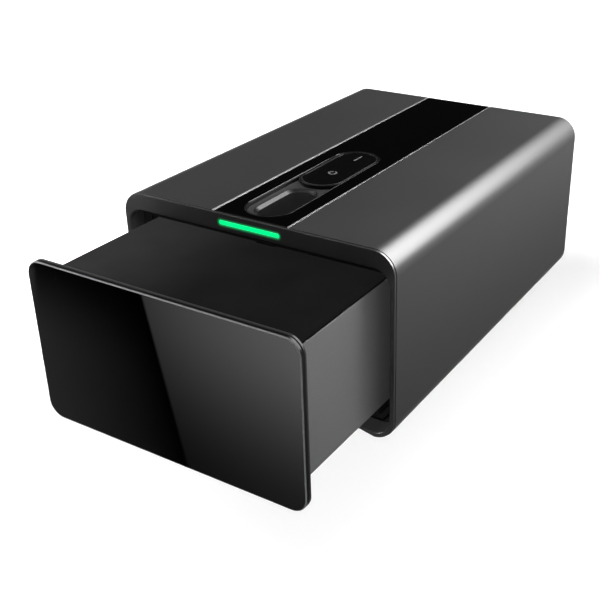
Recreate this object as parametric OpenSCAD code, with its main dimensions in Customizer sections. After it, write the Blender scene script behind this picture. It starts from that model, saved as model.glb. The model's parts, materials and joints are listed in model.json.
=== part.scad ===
// Electronic drawer safe: a steel tube casing with a glass control strip on top and a sliding drawer.
// Millimetres. +Z is up and -Y is the drawer's front. The origin is the centre of the base pad's underside.
// The drawer stands part open, as it does when the safe has just been unlocked.

/* [Casing] */
// Width of the casing
case_w = 230; // [226:1:250]
// Height of the casing without its base pad
case_h = 143.5; // [140:0.5:170]
// Length of the casing from front to back
case_l = 330; // [326:1:360]
// Radius of the casing's long edges
corner_r = 17; // [15:0.5:19]
// Thickness of the shell's steel
shell_t = 2; // [1.8:0.1:2.4]
// Space between the rear panel and the shell's rear edge
rear_inset = 2; // [1:0.5:4]
// Thickness of the rear panel
rear_t = 2; // [1.5:0.1:3]

/* [Base] */
// Thickness of the base pad
pad_t = 1.5; // [1:0.1:3]
// Distance from the casing's sides to the base pad
pad_margin = 22; // [19:1:30]
// Corner radius of the base pad
pad_r = 12; // [6:1:16]
// Distance between the anchor holes across the casing
anchor_x = 70; // [50:1:80]
// Distance between the anchor holes along the casing
anchor_y = 200; // [160:1:220]
// Diameter of the anchor holes
anchor_d = 6.5; // [5:0.5:7]
// Thickness of the floor plate
floor_t = 2.5; // [2:0.1:3]

/* [Bezel] */
// Thickness of the bezel's front flange
flange_t = 2; // [1.5:0.1:3]
// How far the flange stays inside the shell's outline
flange_inset = 0.4; // [0.2:0.1:0.8]
// Depth of the bezel
bezel_d = 15; // [14.6:0.1:16]
// Thickness of the bezel's side walls
jamb_t = 1.8; // [1.5:0.1:2.5]
// Thickness of the bezel's ledge
ledge_t = 2; // [1.6:0.1:2.4]
// Height of the fascia above the drawer's mouth
fascia_h = 13.1; // [12.9:0.1:16]
// Thickness of the fascia
fascia_t = 4; // [3:0.1:4.5]
// Thickness of the shelf under the fascia
shelf_t = 1.6; // [1.2:0.1:2]
// Width of the finger relief under the drawer's front
relief_w = 204; // [180:1:206]
// Height of the finger relief
relief_h = 3; // [1:0.1:3.2]
// Depth of the finger relief
relief_d = 12; // [4:0.5:14]
// Length of the relief's sloping ends
relief_run = 14; // [8:1:20]

/* [Light bar] */
// Length of the light bar
light_w = 51; // [30:1:60]
// Height of the light bar
light_h = 3.1; // [2.5:0.1:4]
// Distance from the casing's top to the middle of the light bar
light_drop = 7; // [6.95:0.05:7.8]
// Number of lamps behind the light bar
led_n = 4; // [2:1:6]

/* [Glass strip] */
// Width of the glass strip
glass_w = 62.4; // [60:0.1:66]
// Thickness of the glass strip
glass_t = 3; // [2.5:0.1:3.4]
// Width of the metal trims beside the glass
trim_w = 0.9; // [0.8:0.1:2]
// Open joint between a trim and the shell
strip_gap = 0.4; // [0.2:0.1:0.8]

/* [Control tray] */
// Width of the recess in the glass strip
recess_w = 37.6; // [35:0.1:39]
// Length of the recess
recess_l = 152; // [150:0.5:158]
// Distance from the casing's front to the recess
recess_f = 9; // [8:0.5:11]
// Thickness of the recess's rim
rim_t = 1.2; // [1:0.1:1.5]
// Overall depth of the control tray
tray_d = 10.5; // [10.2:0.1:11]
// Depth of the floor round the finger dish
sink_d = 3; // [2:0.1:4]
// Width of the finger dish at that floor
dish_w = 26; // [22:0.5:28]
// Length of the finger dish at that floor
dish_l = 60; // [52:1:61]
// Depth of the finger dish below that floor
dish_d = 5.5; // [3.5:0.1:5.8]
// Distance from the recess's front end to the finger dish
dish_f = 7; // [5:0.5:8]
// Width of the fingerprint sensor
sensor_w = 11; // [8:0.5:12]
// Length of the fingerprint sensor
sensor_l = 17; // [12:0.5:20]
// Distance from the dish's middle to the sensor's middle
sensor_f = 3.5; // [0:0.5:9]

/* [Key plate] */
// Length of the key plate
plate_l = 81; // [76:0.5:83]
// Thickness of the key plate
plate_t = 2.6; // [2.2:0.1:2.8]
// Running gap round the key plate
key_gap = 0.3; // [0.2:0.05:0.5]
// Width of the key plate's raised rim
key_rim_w = 1; // [0.6:0.1:1.5]
// Height of the key plate's raised rim
key_rim_h = 0.4; // [0.2:0.1:0.6]
// Distance between the two marks and between their switches
mark_pitch = 38; // [30:1:44]
// How far the marks sit behind the middle of the key plate
mark_shift = 8; // [0:0.1:9]
// Diameter of the key plate's hinge pin
pin_d = 2; // [1.5:0.1:2.2]

/* [Drawer] */
// How far the drawer stands open
drawer_out = 100; // [60:1:140]
// Gap between the drawer's front and the mouth at the top and sides
panel_gap = 1.2; // [0.8:0.1:2]
// Gap between the drawer's front and the ledge
panel_gap_low = 2.4; // [1.5:0.1:4]
// Corner radius of the drawer's front
panel_r = 12; // [8:0.5:14]
// Thickness of the front glass
front_glass_t = 3.2; // [3:0.1:4]
// Overall depth of the drawer's front
panel_t = 6; // [5.8:0.1:7]
// Depth of the groove between the glass and its frame
groove_t = 0.6; // [0.5:0.1:1]
// How far the groove runs in from the edge
groove_inset = 2.5; // [1.5:0.1:4]
// Space between the drawer's box and the casing's sides
side_space = 15; // [14:0.5:18]
// Distance from the casing's top to the drawer's top
headroom = 25.4; // [25.4:0.1:28]
// Thickness of the drawer box's sheet
tray_t = 1.2; // [1:0.1:1.6]
// Space behind the closed drawer
tray_back = 13.7; // [12:0.1:20]
// Length of the deck that covers the front of the drawer
deck_l = 144; // [138:1:150]
// Thickness of the deck
deck_t = 1.5; // [1.2:0.1:2]
// Thickness of the liner on the drawer's floor
liner_t = 2; // [1:0.5:4]

/* [Slides] */
// Height of a slide
rail_h = 16; // [15.8:0.1:18]
// Width of a slide
rail_w = 44; // [43.5:0.5:46]
// Thickness of the slides' steel
rail_t = 1.5; // [1.3:0.1:1.6]
// Distance from the drawer's side to the middle of a slide
rail_in = 30; // [28:0.5:34]
// Gap between two rails, where the balls run
ball_gap = 2.5; // [2.4:0.1:2.7]
// Diameter of the slides' balls
ball_d = 2.3; // [2:0.05:2.3]
// Number of balls in a cage strip
ball_n = 6; // [4:1:8]
// Distance between balls
ball_pitch = 10; // [8:0.5:12]
// Distance from the casing's front to the slides
rail_front = 20; // [18:1:24]
// Distance from the slides to the casing's rear edge
rail_back = 12; // [8:1:16]

/* [Gas spring] */
// Outer diameter of the gas spring's tube
gas_d = 13; // [12:0.1:13.2]
// Wall of the gas spring's tube
gas_wall = 1.5; // [1:0.1:2]
// Diameter of the gas spring's rod
gas_rod_d = 5; // [4:0.1:6]
// Running clearance of the rod and the piston
gas_fit = 0.05; // [0.02:0.01:0.1]
// Distance from the casing's front to the tube
gas_front = 30; // [29:0.5:32]
// Distance from the tube to the casing's rear edge
gas_back = 22; // [18:1:24]
// Length of the gland and of the piston
gas_gland = 6; // [4:0.5:7]

/* [Lock] */
// Distance from the casing's front to the lock bolt
lock_f = 122.5; // [121:0.5:124]
// Width of the bolt
bolt_w = 14; // [10:0.5:15]
// Thickness of the bolt
bolt_t = 6; // [5:0.1:7]
// Height of the bolt
bolt_h = 13; // [12.6:0.1:13.2]
// Guide clearance of the bolt
bolt_fit = 0.15; // [0.08:0.01:0.3]
// Module of the rack and pinion
gear_m = 0.7; // [0.68:0.01:0.72]
// Number of teeth on the pinion
gear_n = 10; // [10:1:10]
// Width of the pinion
gear_w = 6; // [4:0.5:8]
// Diameter of the motor's shaft
shaft_d = 3; // [2:0.1:3]
// Clearance of the strike plate's slot round the bolt
strike_fit = 0.8; // [0.4:0.1:1.2]
// Clearance of the deck's slot round the bolt
slot_fit = 2; // [1.4:0.1:2.5]

/* [Electronics] */
// Length of the main circuit board
board_l = 44; // [36:1:48]
// Width of the main circuit board
board_w = 90; // [70:1:100]
// Thickness of the circuit boards
pcb_t = 1.6; // [1.2:0.1:1.6]
// Diameter of a battery cell
cell_d = 14.2; // [13.5:0.1:14.4]
// Length of a battery cell
cell_l = 50; // [48:0.5:50.5]
// Number of battery cells
cell_n = 4; // [2:2:4]
// Space between the main circuit board and the battery box
battery_gap = 8; // [6:0.5:16]
// Thickness of the cover under the electronics
cover_t = 1.2; // [1:0.1:1.5]
// Distance from the casing's side to the middle of the charging socket
socket_in = 45; // [30:1:55]

/* [Hidden] */
$fn = 64;

// Clearance between faces of neighbouring pieces that do not press on each other
seat = 0.1;
// Wide clearance between pieces
clear = 1;
// Open joint round the cover's windows and edges
window_gap = 0.3;
// Open joint at the glass strip's rear end
strip_end = 0.5;
// Small screws: radius, head radius, head depth, hole radius and the longest one's length
small_r = 1.5;
small_head_r = 2.9;
small_head_t = 1.2;
small_hole_r = 1.6;
small_screw_l = 7;
// How far a countersunk head stays below its surface
head_drop = 0.05;
lock_screw_r = 1.1;
// Places of the screws in the drawer's front, from the drawer box's edges
panel_screw_in = 20;
// Half sizes and thickness of the strike plate
strike_half_w = 20;
strike_half_l = 12;
strike_t = 2.5;
// Distance from a slide's end to its first screw
slide_screw_in = 40;
// Rubber bumpers on the rear panel: distance from the drawer box's edges and radius
bumper_in = 20;
bumper_r = 5;
// Opening of the stop frame beside the drawer box
stop_gap = 3;
// Width of the control tray's flange round its recess
tray_flange = 7;
tray_flange_t = 1.5;
tray_screw_r = 1.25;
tray_screw_in = 14;
tray_screw_y = recess_l / 2 - tray_screw_in;
// How far a cut runs past the face that it opens
past = 1;

// Levels, upwards from the base pad's underside
base_z = pad_t;
top_z = base_z + case_h;
in_floor_z = base_z + shell_t;
in_top_z = top_z - shell_t;
ledge_z = in_floor_z + ledge_t;
floor_z = in_floor_z + floor_t;
mouth_top_z = top_z - fascia_h;
chan_z = top_z - glass_t - shell_t;
tray_z = floor_z + rail_h;
deck_z = top_z - headroom;
wall_top_z = deck_z - deck_t;
cover_lift = 2.2;
cover_z = deck_z + cover_lift;
control_z = top_z - tray_d;
panel_z = ledge_z + panel_gap_low;
panel_h = mouth_top_z - panel_gap - panel_z;

// Widths
in_half = case_w / 2 - shell_t;
mouth_half = in_half - jamb_t;
// Radius of the mouth's top corners behind the drawer's front
mouth_in_r = 4;
panel_w = 2 * (mouth_half - panel_gap);
tray_half = case_w / 2 - side_space;
chan_w = glass_w + 2 * trim_w + 2 * strip_gap;
chan_out_w = chan_w + 2 * shell_t;
floor_half = case_w / 2 - corner_r - clear;

// Places along Y, from the casing's front edge and from the drawer's front face
front_y = -case_l / 2;
drawer_y = front_y - drawer_out;
rear_y = case_l / 2;
rear_face_y = rear_y - rear_inset;
rear_in_y = rear_face_y - rear_t;
mouth_y = front_y + bezel_d;
stop_t = 2;
stop_back_y = mouth_y + stop_t;
recess_y = front_y + recess_f + recess_l / 2;
plate_y = front_y + recess_f + recess_l - rim_t - key_gap - plate_l / 2;
dish_y = front_y + recess_f + dish_f + dish_l / 2;
lock_y = front_y + lock_f;
tray_l = case_l - panel_t - tray_back - rear_inset - rear_t;
rail_l = case_l - rail_front - rail_back;
rail_y = front_y + rail_front + rail_l / 2;

// The lamps behind the light bar
led_space = 1.6;
led_y = front_y + fascia_t + led_space;
led_d = 1.4;
led_w = 3.2;
led_h = 2.4;

// The key plate and its parts
plate_w = recess_w - 2 * (rim_t + key_gap);
pcb_drop = 6.9;
pin_drop = 4.3;
pcb_top_z = top_z - pcb_drop;
pin_z = top_z - pin_drop;
pin_half = plate_w / 2 + key_gap + rim_t / 2;
pin_fit = 0.05;
switch_h = 3.5;
switch_w = 6;
plunger_r = 1.7;
mark_r = 3.6;
mark_line = 1.2;
mark_bar_l = 12;
mark_d = 0.5;
sensor_board_w = 33;
sensor_board_l = 24;
tail_w = 6;
tail_t = 0.8;

// The lock: the pinion lies behind the bolt, and the motor beside the bolt
motor_h = 10;
motor_d = 12;
motor_l = 24;
shaft_in = 5;
shaft_fit = 0.05;
lock_screw_in = 3;
lock_screw_grip = 1.5;
house_lift = 0.8;
house_z = deck_z + house_lift;
house_wall = 1;
gear_z = house_z + house_wall + motor_h / 2;
gear_r = gear_m * gear_n / 2;
gear_pitch = PI * gear_m;
addendum = 0.85 * gear_m;
dedendum = 1.3 * gear_m;
tooth_slack = 0.13;
// How far a tooth reaches into the hub, and how much its foot widens
tooth_root = 0.3;
tooth_flare = 0.4;
// Room behind the pinion
gear_room = 1.5;
flank = tan(20);
bolt_z = deck_z + 1;
gear_y = lock_y + bolt_t / 2 - addendum + gear_r;
motor_side = 2;
motor_x = bolt_w / 2 + motor_side;
house_left = motor_x + motor_l + lock_screw_in;
lock_side = 7;
house_right = bolt_w / 2 + lock_side;
house_front_y = lock_y - bolt_t / 2 - lock_screw_in;
house_rear_y = gear_y + motor_d / 2 + motor_side;

// The slides: half widths of the three nested rails
rail_x = tray_half - rail_in;
outer_half = rail_w / 2;
middle_half = outer_half - rail_t - ball_gap;
inner_half = middle_half - rail_t - ball_gap;
outer_rail_h = 11;
middle_lift = 1.8;
inner_lift = 4;
ball_lift = 6.5;
ball_z = floor_z + ball_lift;
lip = 1.2;
lip_t = 1;
cage_t = 0.7;
cage_h = 5.6;

// The gas spring under the drawer
gas_lift = 1.2;
gas_z = floor_z + gas_lift + gas_d / 2;
gas_tube_y = front_y + gas_front;
gas_tube_l = case_l - gas_front - gas_back;
gas_bore_r = gas_d / 2 - gas_wall;
gas_end = 3;
gas_rod_front = 20;
gas_spare = 5;
gas_rod_l = gas_front + gas_tube_l - gas_end - gas_spare - gas_rod_front;
gas_clip_in = 14;
gas_clip_w = 10;
gas_clip_t = 3;
gas_press = 0.02;
lug_t = 8;
lug_half = 8;

// The main board hangs on standoffs behind the control tray
board_space = 9;
board_y = front_y + recess_f + recess_l + board_space + board_l / 2;
board_drop = 5.4;
board_z = chan_z - board_drop - pcb_t;
standoff_in_x = 5;
standoff_in_y = 4;
standoff_x = chan_out_w / 2 - standoff_in_x;
standoff_y = board_l / 2 - standoff_in_y;
standoff_r = 2.4;
lead_d = 3;
lead_r = 4;
plug = 5;
plug_h = 4.5;
plug_x = board_w / 2 - 1.3 * plug;
// Chips on the main board: place across and along the board, then width, length and height
chips = [[0, -6, 12, 12, 1.6], [-24, -8, 9, 6, 1.4], [22, -9, 7, 7, 1.2], [-26, 8, 6, 5, 2.4],
         [8, 12, 8, 4, 1.2]];
buzzer_r = 6;
buzzer_x = -8;
buzzer_y = 12;
lead_drop = 2.5;
lead_z = board_z - lead_drop;
socket_x = case_w / 2 - socket_in;
socket_w = 9;
socket_h = 3.2;
socket_l = 7.5;
socket_wall = 0.35;
socket_pcb_l = 16;
socket_pcb_w = 20;
socket_lift = lead_z - pcb_t / 2 - cover_z - cover_t;
socket_z = lead_z + pcb_t / 2 + socket_h / 2;
socket_y = rear_in_y - rear_t;
post_side = 12;
post_x = tray_half - post_side;
post_in = 45;
post_d = 8;

// The battery box hangs under the channel
cell_gap = 0.6;
cell_pitch = cell_d + cell_gap;
box_wall = 1.5;
box_spare = 1.6;
box_w = cell_n * cell_pitch + 2 * box_wall + box_spare;
spring_room = 2.5;
box_l = cell_l + 2 * (box_wall + spring_room);
cell_tip_t = 1.2;
cell_tip_r = 2.7;
contact_r = 4;
cell_z = cover_z + cover_t + (chan_z - cover_z - cover_t) / 2;
battery_y = board_y + board_l / 2 + battery_gap + box_l / 2;
lid_over = 2;
thumb_r = 7;
boss_l = 8;
lid_y0 = battery_y - box_l / 2 - lid_over;
lid_y1 = battery_y + box_l / 2 + boss_l + clear;
lid_screw_y = battery_y + box_l / 2 + boss_l / 2;

case_colour = "#4c4d4f";
steel = "#8f9194";
dark = "#17181a";
pcb = "#1d4a33";
gold = "#b89a52";

// A flat shape in the XZ plane, drawn from y0 to y1
module along_y(y0, y1) {
    translate([0, y1, 0]) rotate([90, 0, 0]) linear_extrude(y1 - y0) children();
}

// A flat shape in the XY plane, drawn from z0 to z1
module along_z(z0, z1) {
    translate([0, 0, z0]) linear_extrude(z1 - z0) children();
}

// A rectangle with round corners, centred on X and standing on the X axis
module rounded(w, h, r) {
    translate([-w / 2 + r, 0]) square([w - 2 * r, h]);
    translate([-w / 2, r]) square([w, h - 2 * r]);
    for (x = [-1, 1], z = [r, h - r]) translate([x * (w / 2 - r), z]) circle(r);
}

// A long shape with half round ends, centred, with its length along Y
module stadium(w, l) {
    square([w, l - w], center = true);
    for (s = [-1, 1]) translate([0, s * (l - w) / 2]) circle(w / 2);
}

// A box given by its lowest and highest corners
module block(low, high) {
    translate(low) cube(high - low);
}

// A cylinder along Y from y0 to y1
module rod_y(x, z, y0, y1, r) {
    translate([x, y0, z]) rotate([-90, 0, 0]) cylinder(h = y1 - y0, r = r);
}

// A cylinder along X from x0 to x1
module rod_x(y, z, x0, x1, r) {
    translate([x0, y, z]) rotate([0, 90, 0]) cylinder(h = x1 - x0, r = r);
}

// A countersunk screw that points down, with its flat head's top at z = 0
module flat_screw(r, head_r, head_t, l) {
    translate([0, 0, -head_t]) cylinder(h = head_t, r1 = r, r2 = head_r);
    translate([0, 0, -l]) cylinder(h = l - head_t / 2, r = r);
}

// A cap screw that points up, with its round head below z = 0
module cap_screw(r, head_r, head_t, l) {
    difference() {
        translate([0, 0, -head_t]) cylinder(h = head_t, r = head_r);
        translate([0, 0, -head_t]) cylinder(h = head_t / 2, r = head_r / 2, $fn = 6);
    }
    cylinder(h = l, r = r);
}

// The casing's outline, drawn in by a distance
module case_profile(inset) {
    translate([0, base_z + inset]) rounded(case_w - 2 * inset, case_h - 2 * inset, corner_r - inset);
}

// The outline of the drawer's mouth in the bezel
module mouth_profile() {
    translate([0, ledge_z]) rounded(2 * mouth_half, mouth_top_z - ledge_z, panel_r + panel_gap);
}

// The outline of the drawer's front, drawn in by a distance
module panel_profile(inset) {
    translate([0, panel_z + inset]) rounded(panel_w - 2 * inset, panel_h - 2 * inset, panel_r - inset);
}

// The room that the shell's channel takes up inside the casing
module channel_room() {
    half = chan_out_w / 2 + seat;
    translate([-half, chan_z - seat]) square([2 * half, glass_t + shell_t + past]);
}

// The shallow relief under the front edge, where a finger reaches the drawer's front
module relief() {
    half = relief_w / 2;
    top_half = half - relief_run;
    along_y(front_y - past, front_y + relief_d)
        polygon([[-half, base_z], [-half, base_z - past], [half, base_z - past], [half, base_z],
                 [top_half, base_z + relief_h], [-top_half, base_z + relief_h]]);
}

// The four anchor holes
module anchor_holes(z0, z1) {
    for (x = [-1, 1], y = [-1, 1])
        translate([x * anchor_x / 2, y * anchor_y / 2, z0]) cylinder(h = z1 - z0, d = anchor_d);
}

// The six screws that hold the control tray under the channel
module tray_screw_places() {
    for (x = [-1, 1], y = [-1, 0, 1])
        translate([x * (recess_w + tray_flange) / 2, recess_y + y * tray_screw_y, chan_z - tray_flange_t])
            children();
}

module outer_shell() {
    color(case_colour) difference() {
        along_y(front_y + flange_t, rear_y) difference() {
            union() {
                difference() {
                    case_profile(0);
                    case_profile(shell_t);
                }
                translate([-chan_out_w / 2, chan_z]) square([chan_out_w, glass_t + shell_t]);
            }
            translate([-chan_w / 2, top_z - glass_t]) square([chan_w, glass_t + past]);
        }
        along_z(chan_z - past, top_z) translate([0, recess_y]) stadium(recess_w + clear, recess_l + clear);
        tray_screw_places() cylinder(h = tray_flange_t + shell_t + past, r = tray_screw_r + seat / 2);
        relief();
        anchor_holes(0, in_floor_z + past);
    }
}

module front_bezel() {
    pocket_half = mouth_half - panel_r;
    middle_z = panel_z + panel_h / 2;
    color(dark) difference() {
        union() {
            along_y(front_y, front_y + flange_t) difference() {
                case_profile(flange_inset);
                mouth_profile();
            }
            along_y(front_y + flange_t, mouth_y) difference() {
                case_profile(shell_t + seat);
                mouth_profile();
                channel_room();
            }
        }
        block([-pocket_half, front_y + fascia_t, mouth_top_z + shelf_t],
              [pocket_half, mouth_y + past, top_z]);
        along_y(front_y + panel_t + clear, mouth_y + past) translate([0, middle_z])
            rounded(2 * mouth_half, mouth_top_z - middle_z, mouth_in_r);
        along_y(front_y - past, front_y + fascia_t + past)
            translate([0, top_z - light_drop]) rotate(90) stadium(light_h + 2 * seat, light_w + 2 * seat);
        relief();
    }
}

module light_guide() {
    color("#00f088") {
        along_y(front_y, front_y + fascia_t)
            translate([0, top_z - light_drop]) rotate(90) stadium(light_h, light_w);
        along_y(front_y + fascia_t, led_y - 2 * seat)
            translate([0, top_z - light_drop]) rotate(90) stadium(light_h - led_d, light_w - 2 * led_d);
    }
}

module status_leds() {
    pitch = light_w / led_n;
    color("#d8f5e6") for (i = [0:led_n - 1])
        translate([(i - (led_n - 1) / 2) * pitch, led_y + led_d / 2, top_z - light_drop])
            cube([led_w, led_d, led_h], center = true);
}

module status_board() {
    half = light_w / 2 + led_w;
    color(pcb) block([-half, led_y + led_d, mouth_top_z + shelf_t],
                     [half, led_y + led_d + pcb_t, chan_z - 2 * seat]);
}

module stop_frame() {
    open_half = tray_half + stop_gap;
    notch_half = recess_w / 2 + clear;
    color("#101112") along_y(mouth_y, stop_back_y) difference() {
        case_profile(shell_t + seat);
        translate([-open_half, 0]) square([2 * open_half, cover_z]);
        translate([-notch_half, control_z - 2 * clear]) square([2 * notch_half, tray_d]);
        channel_room();
    }
}

// The rubber bumpers between the rear panel and the closed drawer
module stop_bumpers() {
    bumper_l = tray_back - 2 * seat;
    color("#050505") for (s = [-1, 1], z = [tray_z + bumper_in, wall_top_z - bumper_in])
        rod_y(s * (tray_half - bumper_in), z, rear_in_y - bumper_l, rear_in_y, bumper_r);
}

module rear_panel() {
    color(case_colour) difference() {
        along_y(rear_in_y, rear_face_y) difference() {
            case_profile(shell_t);
            channel_room();
        }
        along_y(rear_in_y - past, rear_face_y + past)
            translate([socket_x, socket_z]) rotate(90) stadium(socket_h + 4 * seat, socket_w + 4 * seat);
    }
}

// The three screws along a slide
module slide_screw_places() {
    for (x = [-1, 1], y = [-1, 0, 1])
        translate([x * rail_x, rail_y + y * (rail_l / 2 - slide_screw_in), 0]) children();
}

module floor_plate() {
    color(steel) difference() {
        block([-floor_half, stop_back_y + seat, in_floor_z], [floor_half, rear_in_y - seat, floor_z]);
        anchor_holes(0, floor_z + past);
        slide_screw_places() translate([0, 0, in_floor_z - past])
            cylinder(h = floor_t + 2 * past, r = small_hole_r);
    }
}

module base_pad() {
    color("#1b1b1c") difference() {
        along_z(0, pad_t) translate([0, pad_margin - case_l / 2])
            rounded(case_w - 2 * pad_margin, case_l - 2 * pad_margin, pad_r);
        anchor_holes(-past, pad_t + past);
    }
}

module glass_strip() {
    color("#0b0c0d") difference() {
        block([-glass_w / 2, front_y + flange_t + seat, top_z - glass_t],
              [glass_w / 2, rear_y - strip_end, top_z]);
        along_z(top_z - glass_t - past, top_z + past)
            translate([0, recess_y]) stadium(recess_w + 4 * seat, recess_l + 4 * seat);
    }
}

// One metal edge of the glass strip
module strip_trim(side) {
    x = side * (glass_w + trim_w) / 2;
    color("#c9ccd0") block([x - trim_w / 2, front_y + flange_t + seat, top_z - glass_t],
                           [x + trim_w / 2, rear_y - strip_end, top_z]);
}

// The sunken floor in front of the key plate
module sink_profile() {
    difference() {
        translate([0, recess_y]) stadium(recess_w - 2 * rim_t, recess_l - 2 * rim_t);
        translate([0, plate_y]) stadium(recess_w, plate_l + 2 * (key_gap + rim_t));
    }
}

// The finger dish is cut by a round bar with round ends, which lies along Y
module dish_cut() {
    r = (pow(dish_w / 2, 2) + pow(dish_d, 2)) / (2 * dish_d);
    half = (dish_l - dish_w) / 2;
    z = top_z - sink_d - dish_d + r;
    rod_y(0, z, dish_y - half, dish_y + half, r);
    for (s = [-1, 1]) translate([0, dish_y + s * half, z]) sphere(r);
}

// The outline of the fingerprint sensor, grown by a distance
module sensor_profile(grow) {
    translate([0, dish_y + sensor_f]) stadium(sensor_w + 2 * grow, sensor_l + 2 * grow);
}

module control_tray() {
    half = recess_w / 2 + tray_flange;
    color("#0a0a0b") difference() {
        union() {
            along_z(control_z, top_z) translate([0, recess_y]) stadium(recess_w, recess_l);
            block([-half, stop_back_y + 2 * seat, chan_z - tray_flange_t],
                  [half, recess_y + recess_l / 2 + tray_flange, chan_z]);
        }
        along_z(top_z - sink_d, top_z + past) sink_profile();
        along_z(pcb_top_z - pcb_t, top_z + past)
            translate([0, plate_y]) stadium(plate_w + 2 * key_gap, plate_l + 2 * key_gap);
        intersection() {
            dish_cut();
            along_z(control_z, top_z) sink_profile();
        }
        along_z(control_z - past, top_z - sink_d) sensor_profile(seat);
        lock_screw_places() translate([0, 0, control_z - past])
            cylinder(h = lock_screw_grip + seat + past, r = lock_screw_r + seat / 2);
        rod_x(plate_y, pin_z, -pin_half, pin_half, pin_d / 2);
        translate([0, 0, -past]) tray_screw_places()
            cylinder(h = tray_flange_t + 2 * past, r = tray_screw_r + 2 * seat);
    }
}

module tray_screws() {
    color(steel) tray_screw_places()
        cap_screw(tray_screw_r, tray_screw_r + past, past, tray_flange_t + shell_t - seat);
}

// The sensor with its small board and the flat tail that runs back to the main board
module sensor_module() {
    top = top_z - sink_d - dish_d + tail_t;
    left = -tail_w - past;
    right = left + sensor_board_w;
    board_end = dish_y + sensor_f + sensor_board_l / 2;
    color("#1c1e22") {
        along_z(control_z, top) sensor_profile(0);
        block([left, board_end - sensor_board_l, control_z - pcb_t], [right, board_end, control_z]);
        block([right - tail_w, board_end - past, control_z - pcb_t],
              [right, board_y - board_l / 2, control_z - pcb_t + tail_t]);
    }
}

module key_board() {
    color(pcb) along_z(pcb_top_z - pcb_t, pcb_top_z)
        translate([0, plate_y]) stadium(plate_w, plate_l);
}

module tact_switches() {
    color("#2a2b2d") for (s = [-1, 1]) translate([0, plate_y + s * mark_pitch / 2, pcb_top_z]) {
        along_z(0, switch_h - mark_d) square(switch_w, center = true);
        cylinder(h = switch_h, r = plunger_r);
    }
}

module key_pivot_pin() {
    half = pin_half - seat;
    color(steel) rod_x(plate_y, pin_z, -half, half, pin_d / 2);
}

// A light mark: a ring with a gap on one side, or a bar
module mark_profile(kind) {
    if (kind == 0) difference() {
        circle(mark_r);
        circle(mark_r - mark_line);
        translate([0, mark_r]) square([2 * mark_line, 2 * mark_r - mark_line], center = true);
    }
    else square([mark_line, mark_bar_l], center = true);
}

// Both marks on the key plate
module marks() {
    for (k = [0, 1]) translate([0, plate_y + mark_shift + (k - 0.5) * mark_pitch]) mark_profile(k);
}

module key_plate() {
    lug_w = 4;
    lug_l = 5;
    lug_x = plate_w / 2 - lug_w - key_rim_w;
    color("#0c0c0d") difference() {
        union() {
            along_z(top_z - plate_t, top_z) translate([0, plate_y]) stadium(plate_w, plate_l);
            for (s = [-1, 1]) translate([s * lug_x, plate_y, (pin_z + top_z - plate_t) / 2])
                cube([lug_w, lug_l, top_z - plate_t - pin_z + 3 * pin_d / 2], center = true);
        }
        along_z(top_z - key_rim_h, top_z + past)
            translate([0, plate_y]) stadium(plate_w - 2 * key_rim_w, plate_l - 2 * key_rim_w);
        rod_x(plate_y, pin_z, -plate_w / 2, plate_w / 2, pin_d / 2 + pin_fit);
        along_z(top_z - key_rim_h - mark_d, top_z) marks();
    }
}

module key_marks() {
    color("#e8eef0") along_z(top_z - key_rim_h - mark_d, top_z - key_rim_h) marks();
}

module main_board() {
    color(pcb) difference() {
        block([-board_w / 2, board_y - board_l / 2, board_z],
              [board_w / 2, board_y + board_l / 2, board_z + pcb_t]);
        for (x = [-1, 1], y = [-1, 1])
            translate([x * standoff_x, board_y + y * standoff_y, board_z - past])
                cylinder(h = pcb_t + 2 * past, r = tray_screw_r + seat / 2);
    }
}

module board_standoffs() {
    base = cover_z + cover_t;
    color(gold) {
        for (x = [-1, 1], y = [-1, 1]) translate([x * standoff_x, board_y + y * standoff_y, 0]) {
            translate([0, 0, board_z + pcb_t]) cylinder(h = chan_z - board_z - pcb_t, r = standoff_r);
            translate([0, 0, board_z - past]) cylinder(h = past, r = standoff_r);
            translate([0, 0, board_z - past]) cylinder(h = pcb_t + 2 * past, r = tray_screw_r);
        }
        for (x = [-1, 1], y = [-1, 1])
            translate([socket_x + x * (socket_pcb_w / 2 - standoff_r),
                       socket_y - socket_pcb_l / 2 + y * (socket_pcb_l / 2 - standoff_r), base])
                cylinder(h = socket_lift, r = standoff_r);
    }
}

// Chips and plugs under the main board
module board_parts() {
    color("#141516") {
        for (c = chips) translate([c[0], board_y + c[1], board_z - c[4] / 2])
            cube([c[2], c[3], c[4]], center = true);
        block([plug_x - plug / 2, board_y + board_l / 2 - plug, board_z - plug_h],
              [plug_x + plug / 2, board_y + board_l / 2, board_z]);
        block([board_w / 2 - plug, board_y - board_l / 4 - plug / 2, board_z - plug_h],
              [board_w / 2, board_y - board_l / 4 + plug / 2, board_z]);
    }
}

module buzzer() {
    color("#111111") translate([buzzer_x, board_y + buzzer_y, board_z - buzzer_r]) difference() {
        cylinder(h = buzzer_r, r = buzzer_r);
        translate([0, 0, -past]) cylinder(h = 2 * past, r = past);
    }
}

module battery_box() {
    base = cover_z + cover_t;
    half = box_w / 2;
    color("#202124") difference() {
        union() {
            block([-half, battery_y - box_l / 2, base], [half, battery_y + box_l / 2, chan_z]);
            block([-boss_l / 2, battery_y + box_l / 2 - box_wall, base],
                  [boss_l / 2, battery_y + box_l / 2 + boss_l, base + small_screw_l + box_wall]);
        }
        block([-half + box_wall, battery_y - box_l / 2 + box_wall, base - past],
              [half - box_wall, battery_y + box_l / 2 - box_wall, chan_z - clear]);
        translate([0, lid_screw_y, base - past]) cylinder(h = small_screw_l + past, r = small_hole_r);
    }
}

// Each battery cell's place
module cell_places() {
    for (i = [0:cell_n - 1]) translate([(i - (cell_n - 1) / 2) * cell_pitch, battery_y, cell_z])
        rotate([i % 2 == 0 ? 90 : -90, 0, 0]) children();
}

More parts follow.
